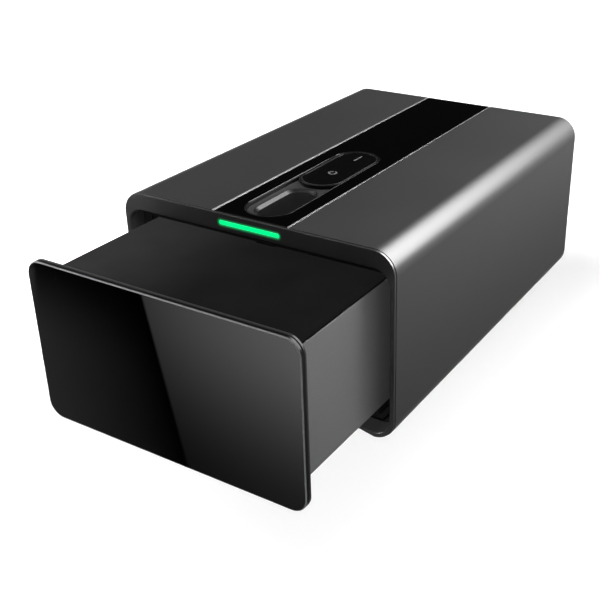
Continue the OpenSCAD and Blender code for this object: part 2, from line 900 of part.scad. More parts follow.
module batteries() {
    color("#3b6f8f") cell_places() {
        translate([0, 0, -cell_l / 2]) cylinder(h = cell_l - cell_tip_t, d = cell_d);
        translate([0, 0, cell_l / 2 - cell_tip_t - seat]) cylinder(h = cell_tip_t + seat, r = cell_tip_r);
    }
}

module battery_contacts() {
    reach = box_l / 2 - box_wall;
    color(gold) cell_places() {
        translate([0, 0, -reach]) cylinder(h = reach - cell_l / 2, r1 = contact_r + past, r2 = contact_r);
        translate([0, 0, cell_l / 2]) cylinder(h = reach - cell_l / 2, r = contact_r);
    }
}

module battery_lid() {
    half = box_w / 2 + lid_over;
    color("#26272a") difference() {
        block([-half, lid_y0, cover_z], [half, lid_y1, cover_z + cover_t]);
        translate([0, lid_y0 + thumb_r, cover_z - past]) cylinder(h = cover_t / 3 + past, r = thumb_r);
        translate([0, lid_screw_y, cover_z]) flat_hole();
    }
}

// The hole for a small countersunk screw that points up from z = 0
module flat_hole() {
    translate([0, 0, -seat])
        cylinder(h = cover_t + 2 * seat, r1 = small_head_r + 3 * seat, r2 = small_hole_r + 2 * seat);
}

module battery_lead() {
    x0 = box_w / 2;
    x1 = plug_x;
    y0 = battery_y - box_l / 4;
    color("#8a1c1c") {
        rod_x(y0, lead_z, x0, x1 - lead_r, lead_d / 2);
        translate([x1 - lead_r, y0 - lead_r, lead_z]) rotate_extrude(angle = 90)
            translate([lead_r, 0]) circle(lead_d / 2);
        rod_y(x1, lead_z, board_y + board_l / 2, y0 - lead_r, lead_d / 2);
    }
}

module socket_lead() {
    x0 = socket_x - plug;
    y0 = socket_y - socket_pcb_l;
    y1 = board_y - board_l / 4;
    color("#202020") {
        rod_y(x0, lead_z, y1 + lead_r, y0, lead_d / 2);
        translate([x0 - lead_r, y1 + lead_r, lead_z]) rotate([0, 0, -90]) rotate_extrude(angle = 90)
            translate([lead_r, 0]) circle(lead_d / 2);
        rod_x(y1, lead_z, board_w / 2, x0 - lead_r, lead_d / 2);
    }
}

module socket_board() {
    z = cover_z + cover_t + socket_lift;
    half = socket_pcb_w / 2;
    color(pcb) block([socket_x - half, socket_y - socket_pcb_l, z], [socket_x + half, socket_y, z + pcb_t]);
}

module power_socket() {
    y1 = rear_face_y - 2 * seat;
    y0 = y1 - socket_l;
    bare = 2 * socket_wall;
    color(steel) translate([socket_x, 0, socket_z]) {
        difference() {
            along_y(y0, y1) rotate(90) stadium(socket_h, socket_w);
            along_y(y0 + past, y1 + past) rotate(90) stadium(socket_h - bare, socket_w - bare);
        }
        along_y(y0 + past / 2, y1 - past) square([socket_w - socket_h + bare, bare], center = true);
    }
}

// The four posts of the ceiling cover
module post_places() {
    for (x = [-1, 1], y = [front_y + post_in, rear_y - post_in]) translate([x * post_x, y, 0]) children();
}

module ceiling_cover() {
    half = in_half - window_gap;
    lid_half = box_w / 2 + lid_over + window_gap;
    color("#232427") difference() {
        block([-half, stop_back_y, cover_z], [half, rear_in_y - seat, cover_z + cover_t]);
        block([-house_left - window_gap, house_front_y - window_gap, cover_z - past],
              [house_right + window_gap, house_rear_y + window_gap, cover_z + cover_t + past]);
        block([-lid_half, lid_y0 - window_gap, cover_z - past],
              [lid_half, lid_y1 + window_gap, cover_z + cover_t + past]);
        translate([0, 0, cover_z]) post_places() flat_hole();
    }
}

module cover_posts() {
    color(steel) difference() {
        translate([0, 0, cover_z + cover_t]) post_places()
            cylinder(h = in_top_z - cover_z - cover_t, d = post_d);
        translate([0, 0, cover_z]) post_places() cylinder(h = small_screw_l + past, r = small_hole_r);
    }
}

module cover_screws() {
    color(steel) {
        translate([0, 0, cover_z]) post_places() rotate([180, 0, 0])
            flat_screw(small_r, small_head_r, cover_t - seat, small_screw_l);
        translate([0, lid_screw_y, cover_z]) rotate([180, 0, 0])
            flat_screw(small_r, small_head_r, cover_t - seat, small_screw_l);
    }
}

module lock_housing() {
    half = bolt_w / 2 + bolt_fit;
    reach = bolt_t / 2 + bolt_fit;
    inside_z = house_z + house_wall;
    hole_r = lock_screw_r + seat;
    color("#2e3033") difference() {
        block([-house_left, house_front_y, house_z], [house_right, house_rear_y, control_z]);
        block([-half, lock_y - reach, house_z - past], [half, lock_y + reach, control_z + past]);
        block([-motor_x - motor_l - seat, gear_y - motor_d / 2 - seat, inside_z],
              [-motor_x + seat, gear_y + motor_d / 2 + seat, control_z + past]);
        block([-motor_x, lock_y + reach - seat, inside_z],
              [house_right - house_wall, gear_y + gear_r + gear_room, control_z + past]);
        rod_x(gear_y, gear_z, 0, house_right + past, shaft_d / 2 + shaft_fit);
        lock_screw_places() translate([0, 0, house_z]) {
            translate([0, 0, -past])
                cylinder(h = control_z - house_z + 2 * past, r = hole_r);
            translate([0, 0, -seat])
                cylinder(h = lock_screw_r + 2 * seat, r1 = 2 * hole_r, r2 = hole_r);
        }
    }
}

// The two screws that hold the lock under the control tray
module lock_screw_places() {
    for (x = [-motor_x - lock_screw_in, bolt_w / 2 + lock_screw_in])
        translate([x, house_front_y + lock_screw_in, 0]) children();
}

module lock_screws() {
    color(steel) translate([0, 0, house_z]) lock_screw_places() rotate([180, 0, 0])
        flat_screw(lock_screw_r, 2 * lock_screw_r, lock_screw_r, control_z - house_z + lock_screw_grip);
}

module lock_motor() {
    color(steel) difference() {
        block([-motor_x - motor_l, gear_y - motor_d / 2, gear_z - motor_h / 2],
              [-motor_x, gear_y + motor_d / 2, gear_z + motor_h / 2]);
        rod_x(gear_y, gear_z, -motor_x - shaft_in - seat, -motor_x + past, shaft_d / 2 + shaft_fit);
    }
}

// One tooth of the pinion, pointing along +X, from the hub to the tip
module pinion_tooth() {
    half = gear_pitch / 4 - tooth_slack / 2;
    tip = half - addendum * flank;
    root = half + dedendum * flank * tooth_flare;
    polygon([[gear_r - dedendum - tooth_root, -root], [gear_r, -half], [gear_r + addendum, -tip],
             [gear_r + addendum, tip], [gear_r, half], [gear_r - dedendum - tooth_root, root]]);
}

module lock_pinion() {
    color(gold) {
        translate([-gear_w / 2, gear_y, gear_z]) rotate([0, 90, 0]) linear_extrude(gear_w) {
            circle(gear_r - dedendum);
            for (i = [0:gear_n - 1]) rotate(-90 + i * 360 / gear_n) pinion_tooth();
        }
        rod_x(gear_y, gear_z, -motor_x - shaft_in, house_right - seat, shaft_d / 2);
    }
}

// The gaps of the rack in the bolt's rear face
module rack_gap() {
    half = gear_pitch / 4 + tooth_slack / 2;
    mouth = half + addendum * flank;
    root = half - dedendum * flank;
    polygon([[past, -mouth - past * flank], [past, mouth + past * flank], [-addendum - dedendum, root],
             [-addendum - dedendum, -root]]);
}

module lock_bolt() {
    color("#a8abae") difference() {
        block([-bolt_w / 2, lock_y - bolt_t / 2, bolt_z],
              [bolt_w / 2, lock_y + bolt_t / 2, bolt_z + bolt_h]);
        for (i = [-3:4]) translate([-bolt_w / 2 - past, lock_y + bolt_t / 2, gear_z + i * gear_pitch])
            rotate([0, 90, 0]) rotate(90) linear_extrude(bolt_w + 2 * past) rack_gap();
    }
}

// The flat channel of a slide, open above or below, with inward lips at its open edge
module rail_profile(half, z0, z1, lip_in) {
    difference() {
        translate([-half, z0]) square([2 * half, z1 - z0]);
        translate([-half + rail_t, z0 + rail_t]) square([2 * (half - rail_t), z1 - z0]);
    }
    if (lip_in > 0) for (s = [-1, 1])
        translate([s * (half - rail_t - lip_in / 2), z1 - lip_t / 2]) square([lip_in, lip_t], center = true);
}

module outer_rail(side) {
    color(steel) translate([side * rail_x, 0, 0]) difference() {
        along_y(rail_y - rail_l / 2, rail_y + rail_l / 2)
            rail_profile(outer_half, floor_z, floor_z + outer_rail_h, lip);
        for (y = [-1, 0, 1])
            translate([0, rail_y + y * (rail_l / 2 - slide_screw_in), floor_z + rail_t]) rail_screw_hole();
    }
}

// The countersunk hole in a slide, with its wide side up at z = 0
module rail_screw_hole() {
    sink = small_head_t + seat;
    translate([0, 0, -sink]) cylinder(h = sink + seat, r1 = small_hole_r, r2 = small_head_r + 2 * seat);
    translate([0, 0, -rail_t - past]) cylinder(h = rail_t + past, r = small_hole_r);
}

module rail_screws() {
    color(steel) translate([0, 0, floor_z + rail_t - head_drop]) slide_screw_places()
        flat_screw(small_r, small_head_r, small_head_t, rail_t + floor_t - 2 * seat);
}

module middle_rails() {
    y = rail_y - drawer_out / 2;
    color(steel) for (s = [-1, 1]) translate([s * rail_x, 0, 0])
        along_y(y - rail_l / 2, y + rail_l / 2)
            rail_profile(middle_half, floor_z + middle_lift, floor_z + outer_rail_h, lip);
}

module inner_rail(side) {
    y = rail_y - drawer_out;
    color(steel) translate([side * rail_x, 0, 0]) difference() {
        along_y(y - rail_l / 2, y + rail_l / 2) translate([0, tray_z]) mirror([0, 1])
            rail_profile(inner_half, 0, rail_h - inner_lift, 0);
        for (k = [-1, 0, 1]) translate([0, y + k * (rail_l / 2 - slide_screw_in), tray_z - rail_t])
            rotate([180, 0, 0]) rail_screw_hole();
    }
}

// Strips of balls in both gaps beside a rail, for both slides
module ball_cages(half, y) {
    color(gold) for (s = [-1, 1], g = [-1, 1])
        translate([s * rail_x + g * (half + ball_gap / 2), y, ball_z]) {
            cube([cage_t, ball_n * ball_pitch + 2 * ball_d, cage_h], center = true);
            for (i = [0:ball_n - 1]) translate([0, (i - (ball_n - 1) / 2) * ball_pitch, 0])
                sphere(d = ball_d);
        }
}

module gas_tube() {
    y1 = gas_tube_y + gas_tube_l;
    color("#26282b") difference() {
        rod_y(0, gas_z, gas_tube_y, y1, gas_d / 2);
        rod_y(0, gas_z, gas_tube_y + gas_gland, y1 - gas_end, gas_bore_r);
        rod_y(0, gas_z, gas_tube_y - past, gas_tube_y + gas_gland + past, gas_rod_d / 2 + gas_fit);
    }
}

module gas_clips() {
    half_x = gas_d / 2 + gas_clip_t;
    half_y = gas_clip_w / 2;
    color(dark) for (y = [gas_tube_y + gas_clip_in, gas_tube_y + gas_tube_l - gas_clip_in]) difference() {
        block([-half_x, y - half_y, floor_z], [half_x, y + half_y, gas_z + gas_d / 2 + past]);
        rod_y(0, gas_z, y - half_y - past, y + half_y + past, gas_d / 2 + gas_press);
    }
}

module gas_rod() {
    y0 = drawer_y + gas_rod_front;
    y1 = y0 + gas_rod_l;
    color("#c7cace") {
        rod_y(0, gas_z, y0, y1, gas_rod_d / 2);
        rod_y(0, gas_z, y1 - gas_gland, y1, gas_bore_r - gas_fit);
    }
}

module gas_lug() {
    y0 = drawer_y + gas_rod_front;
    color(steel) difference() {
        block([-lug_half, y0, ledge_z + gas_end], [lug_half, y0 + lug_t, tray_z]);
        rod_y(0, gas_z, y0 - past, y0 + lug_t + past, gas_rod_d / 2 + gas_press);
    }
}

module glass_panel() {
    color("#0d0e10") along_y(drawer_y, drawer_y + front_glass_t) panel_profile(0);
}

module panel_frame() {
    back = drawer_y + panel_t;
    rim_y = drawer_y + front_glass_t + groove_t;
    color("#1a1b1d") difference() {
        union() {
            along_y(drawer_y + front_glass_t, rim_y) panel_profile(groove_inset);
            along_y(rim_y, back) panel_profile(0);
        }
        panel_screw_places() rod_y(0, 0, drawer_y + front_glass_t - past, back + past, small_hole_r);
    }
}

// The four screws that hold the drawer's box to its front
module panel_screw_places() {
    for (x = [-1, 1], z = [tray_z + panel_screw_in, wall_top_z - panel_screw_in])
        translate([x * (tray_half - panel_screw_in), 0, z]) children();
}

module drawer_tray() {
    y0 = drawer_y + panel_t;
    y1 = y0 + tray_l;
    color("#97999c") difference() {
        block([-tray_half, y0, tray_z], [tray_half, y1, wall_top_z]);
        block([-tray_half + tray_t, y0 + tray_t, tray_z + tray_t],
              [tray_half - tray_t, y1 - tray_t, wall_top_z + past]);
        panel_screw_places() rod_y(0, 0, y0 - past, y0 + tray_t + past, small_hole_r);
        translate([0, -drawer_out, tray_z - past]) slide_screw_places()
            cylinder(h = tray_t + 2 * past, r = small_hole_r);
    }
}

// The slot in the deck or the strike plate that the bolt drops into
module strike_slot(fit, z0, z1) {
    y = lock_y - drawer_out;
    block([-bolt_w / 2 - fit, y - bolt_t / 2 - fit, z0], [bolt_w / 2 + fit, y + bolt_t / 2 + fit, z1]);
}

module drawer_deck() {
    y0 = drawer_y + panel_t;
    color("#1d1e20") difference() {
        block([-tray_half, y0, wall_top_z], [tray_half, y0 + deck_l, deck_z]);
        strike_slot(slot_fit, wall_top_z - past, deck_z + past);
    }
}

module strike_plate() {
    y = lock_y - drawer_out;
    color(steel) difference() {
        block([-strike_half_w, y - strike_half_l, wall_top_z - strike_t],
              [strike_half_w, y + strike_half_l, wall_top_z]);
        strike_slot(strike_fit, wall_top_z - strike_t - past, wall_top_z + past);
    }
}

module tray_liner() {
    inset = tray_t + 5 * seat;
    z0 = tray_z + tray_t;
    color("#24262b") block([-tray_half + inset, drawer_y + panel_t + inset, z0],
                           [tray_half - inset, drawer_y + panel_t + tray_l - inset, z0 + liner_t]);
}

module drawer_screws() {
    y0 = drawer_y + panel_t;
    color(steel) {
        translate([0, -drawer_out, tray_z - rail_t + head_drop]) slide_screw_places()
            rotate([180, 0, 0]) flat_screw(small_r, small_head_r, small_head_t, rail_t + tray_t - seat);
        panel_screw_places() translate([0, y0 + tray_t, 0]) rotate([90, 0, 0])
            cap_screw(small_r, small_head_r, 2 * past, tray_t + panel_t - front_glass_t - seat);
    }
}

outer_shell();
front_bezel();
stop_frame();
rear_panel();
floor_plate();
base_pad();
glass_strip();
strip_trim(-1);  // strip_trim_left
strip_trim(1);  // strip_trim_right
control_tray();
tray_screws();
sensor_module();
key_board();
tact_switches();
key_pivot_pin();
light_guide();
status_board();
status_leds();
main_board();
board_parts();
board_standoffs();
buzzer();
battery_box();
batteries();
battery_contacts();
battery_lid();
battery_lead();
power_socket();
socket_board();
socket_lead();
ceiling_cover();
cover_posts();
cover_screws();
lock_housing();
lock_motor();
lock_screws();
outer_rail(-1);  // outer_rail_left
outer_rail(1);  // outer_rail_right
rail_screws();
gas_tube();
gas_clips();
stop_bumpers();
glass_panel();
panel_frame();
drawer_tray();
drawer_deck();
strike_plate();
tray_liner();
inner_rail(-1);  // inner_rail_left
inner_rail(1);  // inner_rail_right
drawer_screws();
gas_rod();
gas_lug();
middle_rails();
ball_cages(middle_half, rail_y - drawer_out / 4);  // outer_ball_cages
ball_cages(inner_half, rail_y - drawer_out * 3 / 4);  // inner_ball_cages
key_plate();
key_marks();
lock_bolt();
lock_pinion();
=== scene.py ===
"""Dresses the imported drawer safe: finer meshes, procedural finishes, soft studio light and the camera.

Lengths are written in millimetres in the part's own frame, and become metres when a mesh is made.
"""

from __future__ import annotations

import json
import logging
import math
from dataclasses import dataclass
from enum import Enum
from typing import Any, Mapping, Sequence

import bmesh
import bpy
from mathutils import Matrix, Vector

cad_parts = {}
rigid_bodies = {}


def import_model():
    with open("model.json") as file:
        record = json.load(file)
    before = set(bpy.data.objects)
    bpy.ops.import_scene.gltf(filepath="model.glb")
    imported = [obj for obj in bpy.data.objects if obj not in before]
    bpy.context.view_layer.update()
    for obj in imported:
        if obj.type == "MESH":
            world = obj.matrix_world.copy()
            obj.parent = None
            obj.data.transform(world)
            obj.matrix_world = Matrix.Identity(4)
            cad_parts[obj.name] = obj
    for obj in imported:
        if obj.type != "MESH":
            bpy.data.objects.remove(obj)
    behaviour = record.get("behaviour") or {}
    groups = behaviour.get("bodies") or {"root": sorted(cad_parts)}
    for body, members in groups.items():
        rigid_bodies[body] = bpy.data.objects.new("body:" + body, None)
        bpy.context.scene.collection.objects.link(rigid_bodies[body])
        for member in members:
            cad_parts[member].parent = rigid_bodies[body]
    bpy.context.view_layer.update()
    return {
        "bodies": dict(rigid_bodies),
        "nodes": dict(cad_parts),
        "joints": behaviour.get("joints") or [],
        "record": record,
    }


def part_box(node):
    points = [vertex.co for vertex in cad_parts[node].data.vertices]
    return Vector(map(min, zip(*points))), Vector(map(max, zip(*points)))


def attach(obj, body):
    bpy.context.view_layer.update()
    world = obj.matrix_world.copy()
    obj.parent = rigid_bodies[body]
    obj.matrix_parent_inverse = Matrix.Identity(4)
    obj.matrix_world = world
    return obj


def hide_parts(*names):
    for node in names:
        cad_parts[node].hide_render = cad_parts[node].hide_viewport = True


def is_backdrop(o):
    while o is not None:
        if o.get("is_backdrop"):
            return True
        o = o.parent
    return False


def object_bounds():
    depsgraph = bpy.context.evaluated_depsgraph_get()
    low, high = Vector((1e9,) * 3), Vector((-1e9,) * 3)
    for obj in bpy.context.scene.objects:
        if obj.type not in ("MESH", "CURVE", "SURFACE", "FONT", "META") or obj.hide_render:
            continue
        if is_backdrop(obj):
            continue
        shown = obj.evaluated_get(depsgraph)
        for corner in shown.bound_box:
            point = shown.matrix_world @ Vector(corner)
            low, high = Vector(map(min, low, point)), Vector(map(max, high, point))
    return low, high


LOG = logging.getLogger("drawer_safe")
MM = 0.001

Point = tuple[float, float]
Colour = tuple[float, float, float]
Ring = list[bmesh.types.BMVert]
Inputs = Mapping[Any, Any]
Holes = Sequence["Outline"]

BLACK, WHITE = (0.0, 0.0, 0.0), (1.0, 1.0, 1.0)
X_WAY, Y_WAY, Z_WAY = (1.0, 0.0, 0.0), (0.0, 1.0, 0.0), (0.0, 0.0, 1.0)
NEAR = 1e-4
EASE_STEPS = 4
BASE_SHADE_RUN = 100.0
CIRCLE_STEPS = 40
QUARTER_STEPS = ((1.5, 5), (8.0, 12), (math.inf, 28))


class Plane(Enum):
    """The plane that an outline is drawn in. It is pushed along the third axis."""

    XY = "xy"
    XZ = "xz"

    def place(self, u: float, v: float, level: float) -> Vector:
        """Returns the point in metres that lies at u and v in the plane, at a level along its normal."""
        return Vector((u, v, level) if self is Plane.XY else (u, level, v)) * MM

    def flat(self, spot: Vector) -> Point:
        """Returns a point's two coordinates in the plane."""
        return (spot.x, spot.y) if self is Plane.XY else (spot.x, spot.z)


class Body(str, Enum):
    """The moving bodies that pieces ride on."""

    CASING = "casing"
    DRAWER = "drawer"
    KEY = "key_plate"


@dataclass(frozen=True)
class Room:
    """The box that a CAD node fills, in millimetres.

    Args:
        low: the lowest corner.
        high: the highest corner.
    """

    low: Vector
    high: Vector

    @classmethod
    def of(cls, node: str) -> Room:
        """Returns the box of a CAD node."""
        low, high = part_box(node)
        return cls(Vector(low) / MM, Vector(high) / MM)

    @property
    def size(self) -> Vector:
        """Width, length and height."""
        return self.high - self.low

    @property
    def middle(self) -> Vector:
        """The centre of the box."""
        return (self.low + self.high) / 2

    def edge(self, radius: float, fine: int = 0, plane: Plane = Plane.XY) -> Outline:
        """The box's outline in a plane, with round corners."""
        return Outline.box(plane.flat(self.low), plane.flat(self.high), radius, fine)

    def oval(self, plane: Plane, wide: float = 0.0, long: float = 0.0) -> Outline:
        """The stadium that fills the box in a plane, made larger by wide and long."""
        across, along = plane.flat(self.size)
        return Outline.stadium(across + wide, along + long, plane.flat(self.middle))

    def sheet(
        self, radius: float, soft: Point, holes: Holes = (), hole_soft: Point = (0.0, 0.0), fine: int = 0
    ) -> Skin:
        """Fills the box with a flat plate.

        Args:
            radius: radius of its corners.
            soft: radius of its lower and of its upper edge.
            holes: outlines of its through holes.
            hole_soft: radius of the holes' two edges.
            fine: straight pieces in a corner, or 0 to choose them by the radius.

        Returns:
            The plate's mesh.
        """
        return Skin().plate(self.edge(radius, fine), self.low.z, self.high.z, soft, holes, hole_soft)


def arc(centre: Point, radius: float, start: float, end: float, steps: int) -> list[Point]:
    """Points along an arc.

    Args:
        centre: the arc's centre.
        radius: its radius.
        start: first angle in degrees.
        end: last angle in degrees.
        steps: number of straight pieces.

    Returns:
        The points from the first angle to the last.
    """
    turns = (math.radians(start + (end - start) * k / steps) for k in range(steps + 1))
    return [(centre[0] + radius * math.cos(t), centre[1] + radius * math.sin(t)) for t in turns]


@dataclass(frozen=True)
class Outline:
    """A closed flat outline that runs anticlockwise.

    Args:
        points: its corners in millimetres.
    """

    points: tuple[Point, ...]

    @classmethod
    def through(cls, points: Sequence[Point]) -> Outline:
        """Returns the outline through points, without those that repeat."""
        kept: list[Point] = []
        for point in points:
            if not kept or math.dist(point, kept[-1]) > NEAR:
                kept.append(point)
        if math.dist(kept[0], kept[-1]) <= NEAR:
            kept.pop()
        return cls(tuple(kept))

    @classmethod
    def cornered(cls, corners: Sequence[tuple[float, float, float]], fine: int = 0) -> Outline:
        """Makes a polygon with round corners.

        Args:
            corners: place and radius of each corner, anticlockwise.
            fine: straight pieces in a quarter turn, or 0 to choose them by the radius.

        Returns:
            The outline.
        """
        points: list[Point] = []
        for i, (x, y, radius) in enumerate(corners):
            corner = Vector((x, y))
            back = (Vector(corners[i - 1][:2]) - corner).normalized()
            ahead = (Vector(corners[(i + 1) % len(corners)][:2]) - corner).normalized()
            turn = math.pi - back.angle(ahead)
            if radius <= 0 or turn < NEAR:
                points.append((x, y))
                continue
            centre = corner + (back + ahead).normalized() * (radius / math.cos(turn / 2))
            first = corner + back * (radius * math.tan(turn / 2)) - centre
            last = corner + ahead * (radius * math.tan(turn / 2)) - centre
            start = math.degrees(math.atan2(first.y, first.x))
            sweep = (math.degrees(math.atan2(last.y, last.x)) - start + 180) % 360 - 180
            quarter = fine or next(count for top, count in QUARTER_STEPS if radius < top)
            steps = max(2, round(abs(sweep) / 90 * quarter))
            points += arc((centre.x, centre.y), radius, start, start + sweep, steps)
        return cls.through(points)

    @classmethod
    def box(cls, low: Point, high: Point, radius: float = 0.0, fine: int = 0) -> Outline:
        """Returns a rectangle between two corners, with round corners."""
        (x0, y0), (x1, y1) = low, high
        return cls.cornered([(x0, y0, radius), (x1, y0, radius), (x1, y1, radius), (x0, y1, radius)], fine)

    @classmethod
    def stadium(cls, wide: float, long: float, centre: Point) -> Outline:
        """Returns a long shape with half round ends; wide is its first axis and long its second."""
        radius = min(wide, long) / 2 - 1e-5
        low = (centre[0] - wide / 2, centre[1] - long / 2)
        return cls.box(low, (centre[0] + wide / 2, centre[1] + long / 2), radius, 24)

    @classmethod
    def circle(cls, radius: float, centre: Point) -> Outline:
        """Returns a circle."""
        return cls.through(arc(centre, radius, 0, 360, CIRCLE_STEPS))

    def inset(self, depth: float) -> Outline:
        """Draws the outline in by a depth, or out by a negative one.

        Args:
            depth: the distance in millimetres.

        Returns:
            An outline with the same number of points.
        """
        if not depth:
            return self
        moved: list[Point] = []
        count = len(self.points)
        for i, (x, y) in enumerate(self.points):
            px, py = self.points[i - 1]
            nx, ny = self.points[(i + 1) % count]
            a = Vector((py - y, x - px)).normalized()
            b = Vector((y - ny, nx - x)).normalized()
            mitre = (a + b) / max(1 + a.dot(b), 0.05)
            moved.append((x + depth * mitre.x, y + depth * mitre.y))
        return Outline(tuple(moved))


def eased(low: float, high: float, soft_low: float, soft_high: float) -> list[Point]:
    """The levels and insets of a wall whose two edges are rounded over.

    Args:
        low: level of the first edge.
        high: level of the second edge.
        soft_low: radius of the first edge.
        soft_high: radius of the second edge.

    Returns:
        Pairs of level and inset, from low to high.
    """
    run: list[Point] = []
    way = 1 if high > low else -1
    for edge, soft, order in ((low, soft_low, 1), (high, soft_high, -1)):
        turns = [math.pi / 2]
        if soft:
            turns = [k / EASE_STEPS * math.pi / 2 for k in range(EASE_STEPS + 1)][::order]
        run += [(edge + way * order * soft * (1 - math.cos(t)), soft * (1 - math.sin(t))) for t in turns]
    return run


def grown(steps: Sequence[Point]) -> list[Point]:
    """Turns a wall's insets outward, for the rim of a hole."""
    return [(level, -inset) for level, inset in steps]


class Wire:
    """An output of a shader node, on which plain maths can be written."""

    def __init__(self, net: Net, socket: bpy.types.NodeSocket) -> None:
        """Keeps the socket and the net that it belongs to."""
        self.net, self.socket = net, socket

    def maths(self, operation: str, other: Any = 0.0) -> Wire:
        """Returns a Math node's result on this value and another."""
        return self.net.maths(operation, self, other)

    def __add__(self, other: Any) -> Wire:
        """Sum."""
        return self.net.maths("ADD", self, other)

    __radd__ = __add__

    def __sub__(self, other: Any) -> Wire:
        """Difference."""
        return self.net.maths("SUBTRACT", self, other)

    def __rsub__(self, other: Any) -> Wire:
        """Difference from the other side."""
        return self.net.maths("SUBTRACT", other, self)

    def __mul__(self, other: Any) -> Wire:
        """Product."""
        return self.net.maths("MULTIPLY", self, other)

    __rmul__ = __mul__

    def smooth(self, low: float, high: float) -> Wire:
        """Runs from 0 at low to 1 at high, with soft ends."""
        settings = {"interpolation_type": "SMOOTHSTEP"}
        return self.net.add("ShaderNodeMapRange", settings, {0: self, 1: low, 2: high})

    def between(self, first: Any, second: Any) -> Wire:
        """Mixes two colours by this factor."""
        settings = {"data_type": "RGBA"}
        inputs = {"Factor": self, 6: first, 7: second}
        return self.net.add("ShaderNodeMix", settings, inputs, 2)


class Net:
    """The node tree of one material or of the world."""

    def __init__(self, owner: bpy.types.Material | bpy.types.World, out: str) -> None:
        """Empties the owner's node tree and adds its output node.

        Args:
            owner: the material or the world.
            out: the output node's type.
        """
        owner.use_nodes = True
        self.tree = owner.node_tree
        self.tree.nodes.clear()
        self.end = self.tree.nodes.new(out)

    def add(self, kind: str, settings: Inputs | None = None, inputs: Inputs | None = None, out: int | str = 0) -> Wire:
        """Adds any node.

        Args:
            kind: the node's type.
            settings: its properties, set first.
            inputs: the value or link of each named or numbered socket.
            out: the output to return.

        Returns:
            The chosen output.
        """
        node = self.tree.nodes.new(kind)
        for name, value in (settings or {}).items():
            setattr(node, name, value)
        for name, value in (inputs or {}).items():
            socket = node.inputs[name]
            if isinstance(value, Wire):
                self.tree.links.new(value.socket, socket)
            elif socket.type == "RGBA":
                socket.default_value = (*value, 1.0)
            else:
                socket.default_value = value
        return Wire(self, node.outputs[out])

    def maths(self, operation: str, left: Any, right: Any = 0.0) -> Wire:
        """Returns a Math node's result on two values or links."""
        return self.add("ShaderNodeMath", {"operation": operation}, {0: left, 1: right})

    def rays(self) -> tuple[Wire, Wire]:
        """Whether a ray comes by way of gloss or glass, and whether it comes from the camera."""
        names = ("Is Glossy Ray", "Is Transmission Ray", "Is Camera Ray")
        glossy, through, seen = (self.add("ShaderNodeLightPath", out=name) for name in names)
        return glossy + through, seen

    def place(self, stretch: Colour = WHITE) -> Wire:
        """The surface's own coordinates in metres, stretched along each axis."""
        spot = self.add("ShaderNodeTexCoord", out="Object")
        if stretch == WHITE:
            return spot
        return self.add("ShaderNodeVectorMath", {"operation": "MULTIPLY"}, {0: spot, 1: stretch})

    def noise(self, size: float, detail: float = 2.0, stretch: Colour = WHITE) -> Wire:
        """Soft noise.

        Args:
            size: width of its blotches in millimetres.
            detail: octaves of finer noise.
            stretch: factor on each coordinate; a small one makes long streaks that way.

        Returns:
            A value about 0.5.
        """
        inputs = {"Vector": self.place(stretch), "Scale": 1 / (size * MM), "Detail": detail}
        return self.add("ShaderNodeTexNoise", {}, inputs)

    def along(self, axis: Colour, place: Wire | None = None) -> Wire:
        """How far a point lies along a direction, in metres."""
        inputs = {0: place or self.place(), 1: axis}
        return self.add("ShaderNodeVectorMath", {"operation": "DOT_PRODUCT"}, inputs, 1)

    def bump(self, height: Wire, depth: float, under: Wire | None = None) -> Wire:
        """Raises the surface by a height.

        Args:
            height: the height between 0 and 1.
            depth: what 1 stands for, in millimetres.
            under: the bump that this one lies on.

        Returns:
            The new normal.
        """
        inputs: dict[int | str, Any] = {"Height": height, "Distance": depth * MM, "Strength": 1.0}
        if under is not None:
            inputs["Normal"] = under
        return self.add("ShaderNodeBump", {}, inputs)

    def surface(self, **inputs: Any) -> Wire:
        """Adds the main shader; names are its sockets with spaces written as underscores."""
        named = {name.replace("_", " "): value for name, value in inputs.items()}
        return self.add("ShaderNodeBsdfPrincipled", {}, named)

    def close(self, shader: Wire) -> None:
        """Links the finished shader to the output."""
        self.tree.links.new(shader.socket, self.end.inputs["Surface"])


@dataclass(frozen=True)
class Finish:
    """What a surface is made of.

    Args:
        name: the material's name.
        colour: its main colour, linear.
        roughness: its mean roughness.
    """

    name: str
    colour: Colour
    roughness: float

    def shade(self, factor: float) -> Colour:
        """The main colour, lighter or darker by a factor."""
        return tuple(min(1.0, part * factor) for part in self.colour)

    def mottled(self, grain: Wire, spread: float) -> Wire:
        """The main colour, varied both ways by a grain."""
        return grain.smooth(0.25, 0.75).between(self.shade(1 - spread), self.shade(1 + spread))

    def toned(self, net: Net, tone: Wire, spread: float, swing: float, **more: Any) -> Wire:
        """Adds the main shader, whose colour and roughness follow a tone by a spread and a swing."""
        rough = self.roughness + (tone - 0.5) * swing
        return net.surface(Base_Color=self.mottled(tone, spread), Roughness=rough, **more)

    def dress(self, net: Net) -> Wire:
        """Builds the shader; each kind of finish has its own."""
        raise NotImplementedError

    def material(self) -> bpy.types.Material:
        """The material of this finish, made on first use."""
        found = bpy.data.materials.get(self.name)
        if found is None:
            found = bpy.data.materials.new(self.name)
            net = Net(found, "ShaderNodeOutputMaterial")
            net.close(self.dress(net))
            found.diffuse_color = (*self.colour, 1.0)
        return found


